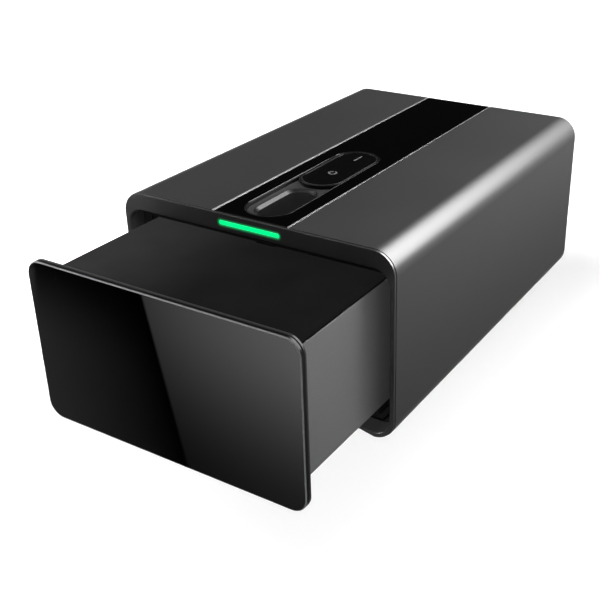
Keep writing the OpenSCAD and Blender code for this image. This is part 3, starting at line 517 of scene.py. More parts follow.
@dataclass(frozen=True)
class SatinPaint(Finish):
    """Baked satin paint with fine metal flake and a faint orange peel.

    Args:
        metal: share of metal in its shine.
        peel: depth of the orange peel in millimetres.
        shine: strength of its clear shine, 0.5 for plain lacquer.
        base_shade: painted shade, how much darker it is at the base than BASE_SHADE_RUN above it.
    """

    metal: float = 0.5
    peel: float = 0.004
    shine: float = 0.5
    base_shade: float = 0.0

    def dress(self, net: Net) -> Wire:
        """Builds flake, peel, the slow change of sheen over a large sheet, and the painted shade towards the base."""
        flake = net.noise(0.22, 1.0)
        peel = net.noise(1.1, 1.0)
        cloud = net.noise(60.0, 3.0)
        rough = self.roughness + (cloud - 0.5) * 0.05 + (flake - 0.5) * 0.06
        # Painted shade: the colour darkens towards the base.
        rise = net.along(Z_WAY).smooth(0.0, BASE_SHADE_RUN * MM)
        colour = self.mottled(flake, 0.14) * (1 - self.base_shade + rise * self.base_shade)
        return net.surface(
            Base_Color=colour, Roughness=rough, Metallic=self.metal, Specular_IOR_Level=self.shine,
            Normal=net.bump(peel, self.peel),
        )


@dataclass(frozen=True)
class MouldedPlastic(Finish):
    """Moulded plastic with a fine eroded grain.

    Args:
        grain: size of the grain in millimetres.
        depth: depth of the grain in millimetres.
        shine: strength of its shine, 0.5 for plain plastic.
    """

    grain: float = 0.35
    depth: float = 0.006
    shine: float = 0.5

    def dress(self, net: Net) -> Wire:
        """Builds the grain and a faint cloudiness."""
        grain = net.noise(self.grain, 3.0)
        cloud = net.noise(35.0, 2.0)
        rough = self.roughness + (cloud - 0.5) * 0.06 + (grain - 0.5) * 0.08
        normal = net.bump(grain, self.depth)
        colour = self.mottled(cloud, 0.1)
        return net.surface(Base_Color=colour, Roughness=rough, Specular_IOR_Level=self.shine, Normal=normal)


@dataclass(frozen=True)
class LeftSheenPlastic(MouldedPlastic):
    """Matt plastic with a painted sheen that lightens it towards its left side.

    Args:
        sheen_start: where the painted sheen starts, in millimetres.
        sheen_full: where it is full.
        sheen_gain: how much lighter the painted sheen makes it there.
    """

    sheen_start: float = 15.0
    sheen_full: float = -100.0
    sheen_gain: float = 1.7

    def dress(self, net: Net) -> Wire:
        """Builds the plastic, then lightens its colour towards the left with the painted sheen."""
        shader = super().dress(net)
        colour = shader.socket.node.inputs["Base Color"]
        plain = Wire(net, colour.links[0].from_socket)
        # Painted sheen: the colour grows lighter towards the left side.
        side = (self.sheen_start * MM - net.along(X_WAY)).smooth(0.0, (self.sheen_start - self.sheen_full) * MM)
        net.tree.links.new((plain * (1 + side * self.sheen_gain)).socket, colour)
        return shader


@dataclass(frozen=True)
class GlowingBezel(LeftSheenPlastic):
    """Moulded plastic with a painted glow round a lit bar, on top of the painted sheen towards its left.

    Args:
        bar: half length, half height and level of the bar in millimetres.
        spill: how far the painted glow reaches past the bar's edge, in millimetres.
        lit: the painted glow's colour at the bar's edge, linear.
    """

    bar: Colour = (25.5, 1.55, 138.0)
    spill: float = 2.6
    lit: Colour = (0.0, 0.3, 0.09)

    def dress(self, net: Net) -> Wire:
        """Builds the plastic and paints the bar's spilt light round it as a glow."""
        shader = super().dress(net)
        half, high, level = (part * MM for part in self.bar)
        side = net.along(X_WAY).maths("ABSOLUTE") - (half - high)
        over = side.maths("MAXIMUM", 0.0)
        rise = net.along(Z_WAY) - level
        far = (over * over + rise * rise).maths("SQRT") - high
        # Painted glow: emission in the bezel that stands in for the bar's light spilt onto it.
        near = 1 - far.smooth(-0.1 * MM, self.spill * MM)
        node = shader.socket.node
        net.tree.links.new((near * near).between(BLACK, self.lit).socket, node.inputs["Emission Color"])
        node.inputs["Emission Strength"].default_value = 1.0
        return shader


@dataclass(frozen=True)
class BlackGlass(Finish):
    """Glass or lacquer over black, with a trace of wiping.

    Args:
        index: refractive index of its surface.
        smear: how much the wiping roughens it.
        shine: strength of its shine, 0.5 for plain glass.
    """

    index: float = 1.45
    smear: float = 0.015
    shine: float = 0.5

    def dress(self, net: Net) -> Wire:
        """Builds the wiping marks, which only change the roughness."""
        wiped = net.noise(26.0, 4.0, (1.0, 0.35, 0.35))
        dust = net.noise(1.4, 2.0)
        rough = self.roughness + wiped.smooth(0.45, 0.8) * self.smear
        colour = self.mottled(dust, 0.12)
        return net.surface(Base_Color=colour, Roughness=rough, IOR=self.index, Specular_IOR_Level=self.shine)


@dataclass(frozen=True)
class BrushedMetal(Finish):
    """Metal brushed along one axis.

    Args:
        stretch: factor on each coordinate, small along the brushing.
        depth: depth of the brushing in millimetres.
    """

    stretch: Colour = (1.0, 0.02, 1.0)
    depth: float = 0.002

    def dress(self, net: Net) -> Wire:
        """Builds long fine streaks."""
        streak = net.noise(0.12, 3.0, self.stretch)
        return self.toned(net, streak, 0.07, 0.16, Metallic=1.0, Normal=net.bump(streak, self.depth))


@dataclass(frozen=True)
class PlatedSteel(Finish):
    """Zinc plated or plain rolled metal with its crystal flowers.

    Args:
        flower: width of a crystal in millimetres.
    """

    flower: float = 3.0

    def dress(self, net: Net) -> Wire:
        """Builds crystals of slightly different shade and shine."""
        inputs = {"Vector": net.place(), "Scale": 1 / (self.flower * MM)}
        cell = net.add("ShaderNodeTexVoronoi", {}, inputs, "Color")
        value = net.add("ShaderNodeSeparateColor", {}, {0: cell})
        return self.toned(net, value, 0.12, 0.14, Metallic=1.0)


@dataclass(frozen=True)
class Rubber(Finish):
    """Moulded rubber with a dusty, dimpled skin."""

    def dress(self, net: Net) -> Wire:
        """Builds dimples and dust."""
        inputs = {"Vector": net.place(), "Scale": 1 / (1.6 * MM)}
        dimple = net.add("ShaderNodeTexVoronoi", {"feature": "SMOOTH_F1"}, inputs)
        dust = net.noise(9.0, 4.0)
        return self.toned(net, dust, 0.2, 0.12, Normal=net.bump(dimple, 0.05))


@dataclass(frozen=True)
class Felt(Finish):
    """Pressed felt with loose fibres."""

    def dress(self, net: Net) -> Wire:
        """Builds two layers of fibres and a soft sheen."""
        fibre = net.noise(0.7, 5.0, (1.0, 0.3, 1.0)) * 0.5 + net.noise(0.7, 5.0, (0.3, 1.0, 1.0)) * 0.5
        tuft = net.noise(5.0, 3.0)
        rough = self.roughness + (tuft - 0.5) * 0.1
        normal = net.bump(fibre, 0.35, net.bump(tuft, 0.3))
        return net.surface(
            Base_Color=self.mottled(fibre, 0.45), Roughness=rough, Normal=normal, Sheen_Weight=0.35, Sheen_Roughness=0.5
        )


@dataclass(frozen=True)
class CircuitBoard(Finish):
    """Solder mask over copper tracks."""

    def dress(self, net: Net) -> Wire:
        """Builds tracks as a brick grid seen through the mask."""
        inputs = {"Vector": net.place(), "Scale": 1 / (4.0 * MM), "Mortar Size": 0.035}
        track = net.add("ShaderNodeTexBrick", {}, inputs, "Fac")
        grain = net.noise(0.5)
        colour = track.smooth(0.2, 0.8).between(self.mottled(grain, 0.1), self.shade(1.9))
        return net.surface(Base_Color=colour, Roughness=self.roughness + (grain - 0.5) * 0.1)


@dataclass(frozen=True)
class Glow(Finish):
    """A lit diffuser.

    Args:
        lit: the light's colour, linear.
        strength: its strength at the middle.
        reach: half length over which it dims, in millimetres.
        dim: share that is lost at the ends.
    """

    lit: Colour = (0.0, 1.0, 0.3)
    strength: float = 1.0
    reach: float = 26.0
    dim: float = 0.1

    def dress(self, net: Net) -> Wire:
        """Builds a light that is fullest between its lamps and dims at its ends."""
        far = net.along(X_WAY)
        end = (far * far).smooth((self.reach * 0.6 * MM) ** 2, (self.reach * MM) ** 2)
        grain = net.noise(1.5)
        level = 1 - self.dim * end - (grain - 0.5) * 0.04
        lit, colour = level.between(BLACK, self.lit), self.mottled(grain, 0.05)
        return net.surface(
            Base_Color=colour, Roughness=self.roughness, Emission_Color=lit, Emission_Strength=self.strength
        )


# The casing's paint is painted darker towards its base, as shade.
CASE_PAINT = SatinPaint("case_satin_paint", (0.022, 0.0221, 0.0226), 0.4, metal=0.5, shine=1.0, base_shade=0.4)
DRAWER_PAINT = SatinPaint("drawer_satin_paint", (0.255, 0.256, 0.261), 0.38, metal=0.25, peel=0.003)
# The deck carries a painted sheen that lightens it towards its left.
DECK_PAINT = LeftSheenPlastic("deck_matt_black", (0.0125, 0.0125, 0.0127), 0.6, grain=0.3, depth=0.004, shine=0.0)
FRAME_PAINT = SatinPaint("front_frame_paint", (0.04, 0.04, 0.0413), 0.34, metal=0.0, peel=0.002, shine=0.12)
SLIDE_PAINT = SatinPaint("slide_black_oxide", (0.014, 0.014, 0.0145), 0.42, metal=0.3, peel=0.002)
# Painted shade: the strike plate is near black for the dark inside the closed bolt slot.
STRIKE_SHADE = SatinPaint("strike_painted_shade", (0.003, 0.003, 0.0032), 0.6, metal=0.0, shine=0.0)
# Painted shade: a near-black finish for the inner faces of hollow pieces, where shade falls.
INSIDE_SHADE = SatinPaint("inside_painted_shade", (0.006, 0.006, 0.0062), 0.6, metal=0.0, shine=0.1)
# Near-black paint of the stop frame, also put on the floor plate as painted shade.
STOP_PAINT_AND_SHADE = SatinPaint("stop_frame_paint_and_shade", (0.003, 0.003, 0.0032), 0.7, metal=0.0, shine=0.1)
# The bezel carries a painted sheen towards its left and a painted glow round the light bar.
BEZEL_PLASTIC = GlowingBezel("bezel_plastic", (0.0225, 0.0225, 0.0231), 0.3, shine=0.65, sheen_start=-74.0, sheen_gain=1.0)
INNER_PLASTIC = MouldedPlastic("inner_plastic", (0.03, 0.031, 0.034), 0.48, grain=0.6, depth=0.01)
CHIP_PLASTIC = MouldedPlastic("chip_plastic", (0.02, 0.02, 0.021), 0.4)
CELL_WRAP = MouldedPlastic("cell_wrap", (0.03, 0.11, 0.19), 0.22, grain=2.0, depth=0.004)
RED_LEAD = MouldedPlastic("red_lead", (0.3, 0.02, 0.02), 0.4)
BLACK_LEAD = MouldedPlastic("black_lead", (0.015, 0.015, 0.015), 0.4)
FRONT_GLASS = BlackGlass("front_black_glass", (0.0004, 0.0004, 0.0005), 0.004, index=1.5, smear=0.006)
GLASS_EDGE = BlackGlass("ground_glass_edge", (0.28, 0.281, 0.284), 0.35, shine=0.1)
GLASS_SIDE = BlackGlass("painted_glass_side", (0.002, 0.002, 0.0022), 0.3, shine=0.1)
STRIP_GLASS = BlackGlass("strip_black_glass", (0.0012, 0.0012, 0.0013), 0.03, index=1.4)
TRAY_GLOSS = BlackGlass("control_tray_gloss", (0.003, 0.003, 0.0033), 0.34, index=1.5, shine=0.13)
SINK_SATIN = MouldedPlastic("sunken_floor_satin", (0.03, 0.03, 0.0305), 0.5, grain=0.2, depth=0.002, shine=0.15)
RIM_SATIN = MouldedPlastic("rim_satin", (0.02, 0.02, 0.0206), 0.36, grain=0.2, depth=0.001, shine=0.08)
RIM_MATT = MouldedPlastic("rim_matt", (0.01, 0.01, 0.0103), 0.5, grain=0.2, depth=0.001, shine=0.0)
KEY_GLOSS = BlackGlass("key_plate_gloss", (0.004, 0.004, 0.0043), 0.12, index=1.45, shine=0.2)
SENSOR_GLASS = BlackGlass("sensor_glass", (0.006, 0.0065, 0.008), 0.06, index=1.55)
TRIM_METAL = BrushedMetal("trim_aluminium", (0.26, 0.262, 0.267), 0.4)
GROUND_STEEL = BrushedMetal("ground_steel", (0.5, 0.505, 0.515), 0.3, stretch=(0.05, 1.0, 1.0))
CHROME = BrushedMetal("chrome_rod", (0.78, 0.79, 0.8), 0.1, depth=0.0005)
ZINC = PlatedSteel("zinc_plate", (0.46, 0.465, 0.475), 0.36)
SCREW_STEEL = PlatedSteel("screw_zinc", (0.52, 0.525, 0.53), 0.3, flower=1.2)
BRASS = PlatedSteel("plain_brass", (0.62, 0.43, 0.17), 0.28, flower=1.5)
TUBE_PAINT = SatinPaint("tube_black_paint", (0.014, 0.014, 0.015), 0.22, metal=0.0, peel=0.006)
PAD_RUBBER = Rubber("pad_rubber", (0.012, 0.012, 0.0125), 0.78)
LINER_FELT = Felt("liner_felt", (0.018, 0.019, 0.023), 0.92)
BOARD_MASK = CircuitBoard("board_mask", (0.012, 0.07, 0.035), 0.3)
BAR_LIGHT = Glow("bar_green_light", (0.0, 0.3, 0.1), 0.3, lit=(0.0, 1.0, 0.27), strength=1.0)
MARK_LIGHT = Glow("mark_white_light", (0.12, 0.12, 0.124), 0.5, lit=(0.8, 0.84, 0.86), strength=0.06)
LAMP_LIGHT = Glow("lamp_light", (0.6, 0.7, 0.65), 0.4, lit=(0.5, 0.95, 0.7), strength=0.8)

KEPT: dict[Finish, str] = {
    # The floor plate takes this near-black finish as painted shade.
    STOP_PAINT_AND_SHADE: "stop_frame floor_plate",
    ZINC: "cover_posts gas_lug",
    SLIDE_PAINT: "outer_rail_left outer_rail_right middle_rails inner_rail_left inner_rail_right",
    SCREW_STEEL: "cover_screws tray_screws drawer_screws rail_screws lock_screws",
    BRASS: "outer_ball_cages inner_ball_cages lock_pinion board_standoffs battery_contacts",
    CHROME: "key_pivot_pin gas_rod",
    TUBE_PAINT: "gas_tube",
    GROUND_STEEL: "power_socket lock_motor lock_bolt",
    INNER_PLASTIC: "ceiling_cover gas_clips lock_housing battery_box battery_lid",
    CHIP_PLASTIC: "tact_switches board_parts buzzer",
    BOARD_MASK: "key_board status_board main_board socket_board",
    LAMP_LIGHT: "status_leds",
    CELL_WRAP: "batteries",
    RED_LEAD: "battery_lead",
    BLACK_LEAD: "socket_lead",
}


class Skin:
    """A mesh under construction: walls are pushed from outlines and closed with flat caps."""

    def __init__(self, plane: Plane = Plane.XY) -> None:
        """Starts an empty mesh whose outlines lie in a plane."""
        self.mesh, self.plane = bmesh.new(), plane

    def ring(self, outline: Outline, level: float) -> Ring:
        """Adds an outline's points at a level."""
        return [self.mesh.verts.new(self.plane.place(u, v, level)) for u, v in outline.points]

    def wall(self, outline: Outline, steps: Sequence[Point], slots: Sequence[int] = ()) -> tuple[Ring, Ring]:
        """Pushes a wall along an outline.

        Args:
            outline: the outline at inset 0.
            steps: level and inset of each ring.
            slots: material slot of each band between rings, or nothing for slot 0.

        Returns:
            The first and the last ring.
        """
        rings = [self.ring(outline.inset(inset), level) for level, inset in steps]
        for band, (one, two) in enumerate(zip(rings, rings[1:])):
            for i, vert in enumerate(one):
                face = self.mesh.faces.new((one[i - 1], vert, two[i], two[i - 1]))
                face.material_index = slots[band] if slots else 0
        return rings[0], rings[-1]

    def cap(self, *rings: Ring, slot: int = 0) -> None:
        """Closes the flat area inside the first ring, apart from the other rings."""
        edges = []
        for ring in rings:
            for i, vert in enumerate(ring):
                pair = (ring[i - 1], vert)
                edges.append(self.mesh.edges.get(pair) or self.mesh.edges.new(pair))
        made = bmesh.ops.triangle_fill(self.mesh, use_beauty=True, edges=edges)
        for item in made["geom"]:
            if isinstance(item, bmesh.types.BMFace):
                item.material_index = slot

    def solid(self, outline: Outline, steps: Sequence[Point], slots: Sequence[int] = ()) -> Skin:
        """Adds a wall with both of its ends closed; it is described at wall."""
        for ring in self.wall(outline, steps, slots):
            self.cap(ring)
        return self

    def plate(
        self, outline: Outline, low: float, high: float, soft: Point = (0.0, 0.0), holes: Holes = (),
        hole_soft: Point = (0.0, 0.0),
    ) -> Skin:
        """Adds a solid plate with rounded edges.

        Args:
            outline: its edge.
            low: its first level.
            high: its second level.
            soft: radius of its two edges.
            holes: outlines of its through holes.
            hole_soft: radius of the holes' two edges.

        Returns:
            This skin.
        """
        first, last = self.wall(outline, eased(low, high, *soft))
        rims = [self.wall(hole, grown(eased(low, high, *hole_soft))) for hole in holes]
        self.cap(first, *(rim[0] for rim in rims))
        self.cap(last, *(rim[1] for rim in rims))
        return self

    def thing(self, name: str, *finishes: Finish) -> bpy.types.Object:
        """Turns the mesh into an object.

        Args:
            name: the object's name.
            finishes: the finish of each material slot.

        Returns:
            The object, linked to the scene.
        """
        bmesh.ops.recalc_face_normals(self.mesh, faces=self.mesh.faces)
        data = bpy.data.meshes.new(name)
        self.mesh.to_mesh(data)
        self.mesh.free()
        for finish in finishes:
            data.materials.append(finish.material())
        made = bpy.data.objects.new(name, data)
        bpy.context.scene.collection.objects.link(made)
        return made


def shade_inside(piece: bpy.types.Object, centre: Vector, start: float = -1.0) -> None:
    """Gives the faces that look towards a point the second slot, whose near-black finish paints the shade inside a
    hollow piece.

    Args:
        piece: a hollow piece.
        centre: the point, in metres.
        start: where along X the change starts, in metres.
    """
    for face in piece.data.polygons:
        if face.center.x > start and face.normal.dot(centre - face.center) > MM:
            face.material_index = 1


def cut(piece: bpy.types.Object, *tools: Skin) -> None:
    """Cuts solids out of a piece and applies the result to its mesh.

    Args:
        piece: what is cut.
        tools: the solids that are taken away.
    """
    for tool in tools:
        cutter = tool.thing("cutter")
        change = piece.modifiers.new("cut", "BOOLEAN")
        change.operation = "DIFFERENCE"
        change.solver = "EXACT"
        change.object = cutter
        shaped = piece.evaluated_get(bpy.context.evaluated_depsgraph_get())
        fresh = bpy.data.meshes.new_from_object(shaped)
        piece.modifiers.remove(change)
        piece.data = fresh
        bpy.data.objects.remove(cutter)


@dataclass
class Assembly:
    """A group of pieces that are built and dressed together.

    Args:
        body: the body that its pieces ride on.
    """

    frame: dict[str, Any]
    body: Body = Body.CASING

    def fit(
        self, piece: bpy.types.Object, slot: str, node: str, body: Body | None = None, sharp: float = 38.0
    ) -> None:
        """Smooths a finished piece, ties it to its body and hides the CAD node that it stands for.

        Args:
            piece: the piece.
            slot: the record's material slot; not used.
            node: the CAD node that it stands for.
            body: the body that it rides on, or None for the assembly's own.
            sharp: angle in degrees from which an edge stays sharp.
        """
        mount = (body or self.body).value
        piece.data.shade_smooth()
        piece.data.set_sharp_from_angle(angle=math.radians(sharp))
        even = piece.modifiers.new("even_normals", "WEIGHTED_NORMAL")
        even.mode = "FACE_AREA"
        even.weight = 80
        even.keep_sharp = True
        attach(piece, mount)
        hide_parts(node)
        LOG.info("%s: %d faces, rides on %s", piece.name, len(piece.data.polygons), mount)


@dataclass
class Casing(Assembly):
    """The steel shell, its bezel, rear panel and base pad. Sizes are in millimetres."""

    shell_t: float = 2.0
    corner_r: float = 17.0
    groove_half: float = 32.5
    groove_d: float = 3.0
    flange_t: float = 2.0
    body_inset: float = 1.7
    fascia_t: float = 4.0
    fascia_h: float = 13.1
    shelf_t: float = 1.6
    mouth_half: float = 111.2
    mouth_r: float = 13.2
    mouth_in_r: float = 4.0
    mouth_in_y: float = 7.0
    mouth_in_h: float = 60.0
    ledge_h: float = 4.0
    relief_half: float = 102.0
    relief_run: float = 14.0
    relief_h: float = 3.0
    relief_d: float = 12.0
    relief_r: float = 6.0
    anchor_x: float = 70.0
    anchor_y: float = 200.0
    anchor_d: float = 6.5
    anchor_depth: float = 8.0
    pad_r: float = 12.0
    bumper_r: float = 5.0
    tray_hole: Point = (38.6, 153.0)
    tray_hole_y: float = 85.0
    play: float = 0.1
    past: float = 3.0

    def __post_init__(self) -> None:
        """Reads the casing's boxes."""
        self.case = Room.of("outer_shell")
        self.face = Room.of("front_bezel")

    def profile(self, inset: float, groove: float, depth: float, edge: float) -> Outline:
        """The casing's outline with the groove for the glass strip.

        Args:
            inset: how far it is drawn in.
            groove: half width of the groove.
            depth: depth of the groove from the casing's top.
            edge: radius of the groove's corners.

        Returns:
            The outline in the XZ plane.
        """
        low, high = self.case.low, self.case.high
        x, z0, z1, r = high.x - inset, low.z + inset, high.z - inset, self.corner_r - inset
        base = high.z - depth
        return Outline.cornered([
            (-x, z0, r), (x, z0, r), (x, z1, r), (groove, z1, edge), (groove, base, edge),
            (-groove, base, edge), (-groove, z1, edge), (-x, z1, r),
        ])

    def relief(self) -> Skin:
        """The shallow finger relief under the front edge."""
        base, half, r = self.case.low.z, self.relief_half, self.relief_r
        top, rise = half - self.relief_run, base + self.relief_h
        out, under = half + self.past, base - self.past
        shape = Outline.cornered([
            (-out, under, 0), (out, under, 0), (out, base, 0), (half, base, r),
            (top, rise, r), (-top, rise, r), (-half, base, r), (-out, base, 0),
        ])
        return Skin(Plane.XZ).plate(shape, self.face.low.y - self.past, self.face.low.y + self.relief_d)

    def anchor_holes(self) -> list[Outline]:
        """The outlines of the four anchor holes."""
        spots = [(x * self.anchor_x / 2, y * self.anchor_y / 2) for x in (-1, 1) for y in (-1, 1)]
        return [Outline.circle(self.anchor_d / 2, spot) for spot in spots]

    def shell(self) -> None:
        """The rolled steel sleeve with the channel for the glass strip."""
        outer = self.profile(0.0, self.groove_half, self.groove_d, 0.7)
        inner = self.profile(self.shell_t, self.groove_half + self.shell_t, self.groove_d + self.shell_t, 0.8)
        ends = (self.case.low.y, self.case.high.y)
        skin = Skin(Plane.XZ).plate(outer, *ends, (0.06, 0.6), [inner], (0.4, 0.5))
        piece = skin.thing("shell_sleeve", CASE_PAINT, INSIDE_SHADE)
        # The shell's inner faces take the painted shade.
        shade_inside(piece, self.case.middle * MM)
        bed = self.case.high.z - self.groove_d
        tray = Outline.stadium(*self.tray_hole, (0.0, self.face.low.y + self.tray_hole_y))
        anchors = [Skin().plate(hole, 0, self.anchor_depth) for hole in self.anchor_holes()]
        cut(piece, Skin().plate(tray, bed - self.past, bed + self.past), self.relief(), *anchors)
        self.fit(piece, "case_paint", "outer_shell")

    def bezel(self) -> None:
        """The black bezel: flange, mouth, ledge and fascia with its slot for the light bar."""
        y0, back = self.face.low.y, self.face.high.y
        top, half = self.case.high.z, self.mouth_half
        edge = self.face.edge(self.face.high.x - (self.case.high.x - self.corner_r), plane=Plane.XZ)
        flange = y0 + self.flange_t
        run = eased(y0, flange, 0.2, 0.0) + [(flange, self.body_inset), (back, self.body_inset)]
        mouth_top = top - self.fascia_h
        mouth = Outline.box((-half, self.case.low.z + self.ledge_h), (half, mouth_top), self.mouth_r)
        slot = Room.of("light_guide").oval(Plane.XZ, 2 * self.play, 2 * self.play)
        skin = Skin(Plane.XZ)
        rims = [skin.wall(edge, run)]
        rims += [skin.wall(hole, grown(eased(y0, back, soft, 0.0))) for hole, soft in ((mouth, 0.8), (slot, 0.25))]
        skin.cap(*(rim[0] for rim in rims))
        skin.cap(*(rim[1] for rim in rims))
        piece = skin.thing("bezel_moulding", BEZEL_PLASTIC, INSIDE_SHADE)
        # The inward faces at the mouth's right side take the painted shade.
        shade_inside(piece, self.case.middle * MM, (half - 1) * MM)
        inner = half - self.mouth_r + 1.2
        room = self.groove_half + self.shell_t + self.play
        bed = top - self.groove_d - self.shell_t - self.play
        above = top + self.past
        hollows = [
            (Outline.box((-inner, mouth_top + self.shelf_t), (inner, above)), self.fascia_t),
            (Outline.box((-room, bed), (room, above)), self.flange_t),
            (Outline.box((-half, mouth_top - self.mouth_in_h), (half, mouth_top), self.mouth_in_r), self.mouth_in_y),
        ]
        tools = [Skin(Plane.XZ).plate(shape, y0 + start, back + self.past) for shape, start in hollows]
        cut(piece, *tools, self.relief())
        self.fit(piece, "bezel_black", "front_bezel")

    def rear(self) -> None:
        """The rear panel with the opening for the power socket."""
        room = Room.of("rear_panel")
        groove = self.groove_half + self.shell_t + self.play
        edge = self.profile(self.shell_t + self.play / 2, groove, self.groove_d + self.shell_t + self.play, 0.8)
        hole = Room.of("power_socket").oval(Plane.XZ, 4 * self.play, 4 * self.play)
        skin = Skin(Plane.XZ).plate(edge, room.low.y, room.high.y, (0.2, 0.5), [hole], (0.0, 0.35))
        self.fit(skin.thing("rear_cover", CASE_PAINT), "case_paint", "rear_panel")

    def pad(self) -> None:
        """The rubber base pad with its anchor holes."""
        skin = Room.of("base_pad").sheet(self.pad_r, (0.5, 0.1), self.anchor_holes(), (0.4, 0.0))
        self.fit(skin.thing("base_pad_rubber", PAD_RUBBER), "rubber_black", "base_pad")

    def bumpers(self) -> None:
        """The rubber bumpers that the closed drawer rests against."""
        room, radius = Room.of("stop_bumpers"), self.bumper_r
        skin = Skin(Plane.XZ)
        for x in (room.low.x + radius, room.high.x - radius):
            for z in (room.low.z + radius, room.high.z - radius):
                skin.plate(Outline.circle(radius, (x, z)), room.low.y, room.high.y, (1.2, 0.0))
        self.fit(skin.thing("bumper_buttons", PAD_RUBBER), "rubber_black", "stop_bumpers")

    def build(self) -> None:
        """Builds every piece of the casing."""
        self.shell()
        self.bezel()
        self.rear()
        self.pad()
        self.bumpers()


@dataclass
class ControlStrip(Assembly):
    """The glass strip with its trims, control tray, sensor, key plate and light bar. Millimetres."""

    recess_l: float = 152.0
    recess_y: float = -80.0
    rim_t: float = 1.2
    sink_d: float = 3.0
    ear_z: Point = (138.5, 140.0)
    dish_w: float = 26.0
    dish_l: float = 59.0
    dish_d: float = 5.5
    dish_y: float = -119.4
    dish_steps: int = 40
    sensor_y: float = -115.5
    sensor_size: Point = (11.0, 17.0)
    sensor_board_t: float = 1.6
    sensor_tail_t: float = 0.8
    key_gap: float = 0.3
    key_t: float = 2.6
    key_rim_w: float = 1.0
    key_rim_h: float = 0.4
    lug_x: float = 12.3
    mark_r: float = 3.6
    mark_line: float = 1.2
    mark_bar_l: float = 12.0
    mark_spots: Point = (-57.0, -19.0)
    guide_step: float = 4.0

    def __post_init__(self) -> None:
        """Reads the boxes that the pieces fill."""
        self.key = Room.of("key_plate")
        self.tray = Room.of("control_tray")
        self.width = self.key.size.x + 2 * (self.key_gap + self.rim_t)
        self.recess = Outline.stadium(self.width, self.recess_l, (0.0, self.recess_y))

    def strip(self) -> None:
        """The black glass with its long opening."""
        skin = Room.of("glass_strip").sheet(0.5, (0.1, 0.35), [self.recess.inset(-0.2)], (0.0, 0.2))
        self.fit(skin.thing("strip_black_glass", STRIP_GLASS), "strip_glass", "glass_strip")

    def trims(self) -> None:
        """The two bright edges, with rounded crowns."""
        for name in ("strip_trim_left", "strip_trim_right"):
            low, high = Room.of(name).low, Room.of(name).high
            corners = [(low.x, low.z, 0.1), (high.x, low.z, 0.1), (high.x, high.z, 0.06), (low.x, high.z, 0.06)]
            skin = Skin(Plane.XZ).plate(Outline.cornered(corners, 4), low.y, high.y, (0.08, 0.08))
            self.fit(skin.thing(f"{name}_bar", TRIM_METAL), "bright_metal", name)

    def sink(self) -> Outline:
        """The sunken floor's outline: round in front, and hollow where the key plate's wall stands."""
        half = self.width / 2 - self.rim_t
        front = self.recess_y - (self.recess_l - self.width) / 2
        wall = self.width / 2
        back = self.key.low.y + self.key.size.x / 2
        lean = math.degrees(math.acos(half / wall))
        points = arc((0.0, front), half, 180, 360, 56) + arc((0.0, back), wall, -lean, lean - 180, 56)
        return Outline.through(points)

    def dish(self, skin: Skin) -> Ring:
        """Adds the finger dish, which eases out of the sunken floor.

        Args:
            skin: the control tray's mesh.

        Returns:
            The ring where the dish meets the floor.
        """
        half, deep = self.dish_w / 2, self.dish_d
        radius = (half**2 + deep**2) / (2 * deep)
        floor = self.tray.high.z - self.sink_d
        crown = floor - deep + radius
        wide, soft = half + 0.6, 0.2
        edge = Outline.stadium(2 * wide, 2 * wide + self.dish_l - self.dish_w, (0.0, self.dish_y))
        steps: list[Point] = []
        for k in range(self.dish_steps + 1):
            reach = wide - (wide - 0.3) * (k / self.dish_steps) ** 1.15
            bowl = crown - math.sqrt(radius**2 - reach**2)
            share = min(max(0.5 + 0.5 * (bowl - floor) / soft, 0.0), 1.0)
            steps.append((bowl + (floor - bowl) * share - soft * share * (1 - share), wide - reach))
        first, last = skin.wall(edge, steps)
        skin.cap(last)
        return first

    def control_tray(self) -> None:
        """The gloss tray: rim, sunken floor with the dish, and the pocket of the key plate."""
        low, top = self.tray.low, self.tray.high.z
        skin = Skin()
        outer = skin.wall(self.recess, eased(low.z, top, 0.2, 0.3), (0,) * 5 + (2,) * 4)
        skin.cap(outer[0])
        pocket = self.key.oval(Plane.XY, 2 * self.key_gap, 2 * self.key_gap)
        well = skin.wall(pocket, grown(eased(top, low.z + 2, 0.08, 0.0)))
        skin.cap(well[1])
        floor = top - self.sink_d
        hollow = [(floor + 0.1, 0.0), (floor, 0.1)]
        lip = grown(eased(top, floor + 0.7, 0.25, 0.0))
        rim = skin.wall(self.sink(), lip + hollow, (2,) * 4 + (0,) * 3)
        skin.cap(outer[1], well[0], rim[0], slot=3)
        skin.cap(rim[1], self.dish(skin), slot=1)
        skin.plate(self.tray.edge(2.0), *self.ear_z, (0.2, 0.0))
        piece = skin.thing("control_tray_gloss", TRAY_GLOSS, SINK_SATIN, RIM_SATIN, RIM_MATT)
        self.fit(piece, "piano_black", "control_tray", sharp=50)

    def sensor(self) -> None:
        """The fingerprint sensor, its small board and the flat tail."""
        room, y = Room.of("sensor_module"), self.sensor_y
        base = room.low.z
        top = base + self.sensor_board_t
        skin = Skin().plate(Outline.stadium(*self.sensor_size, (0.0, y)), top, room.high.z, (0.0, 0.25))
        skin.plate(Outline.box((-7, y - 12), (26, y + 12), 1.0), base, top)
        skin.plate(Outline.box((20, y + 11), (26, room.high.y), 0.5), base, base + self.sensor_tail_t)
        self.fit(skin.thing("sensor_face", SENSOR_GLASS), "sensor_black", "sensor_module")

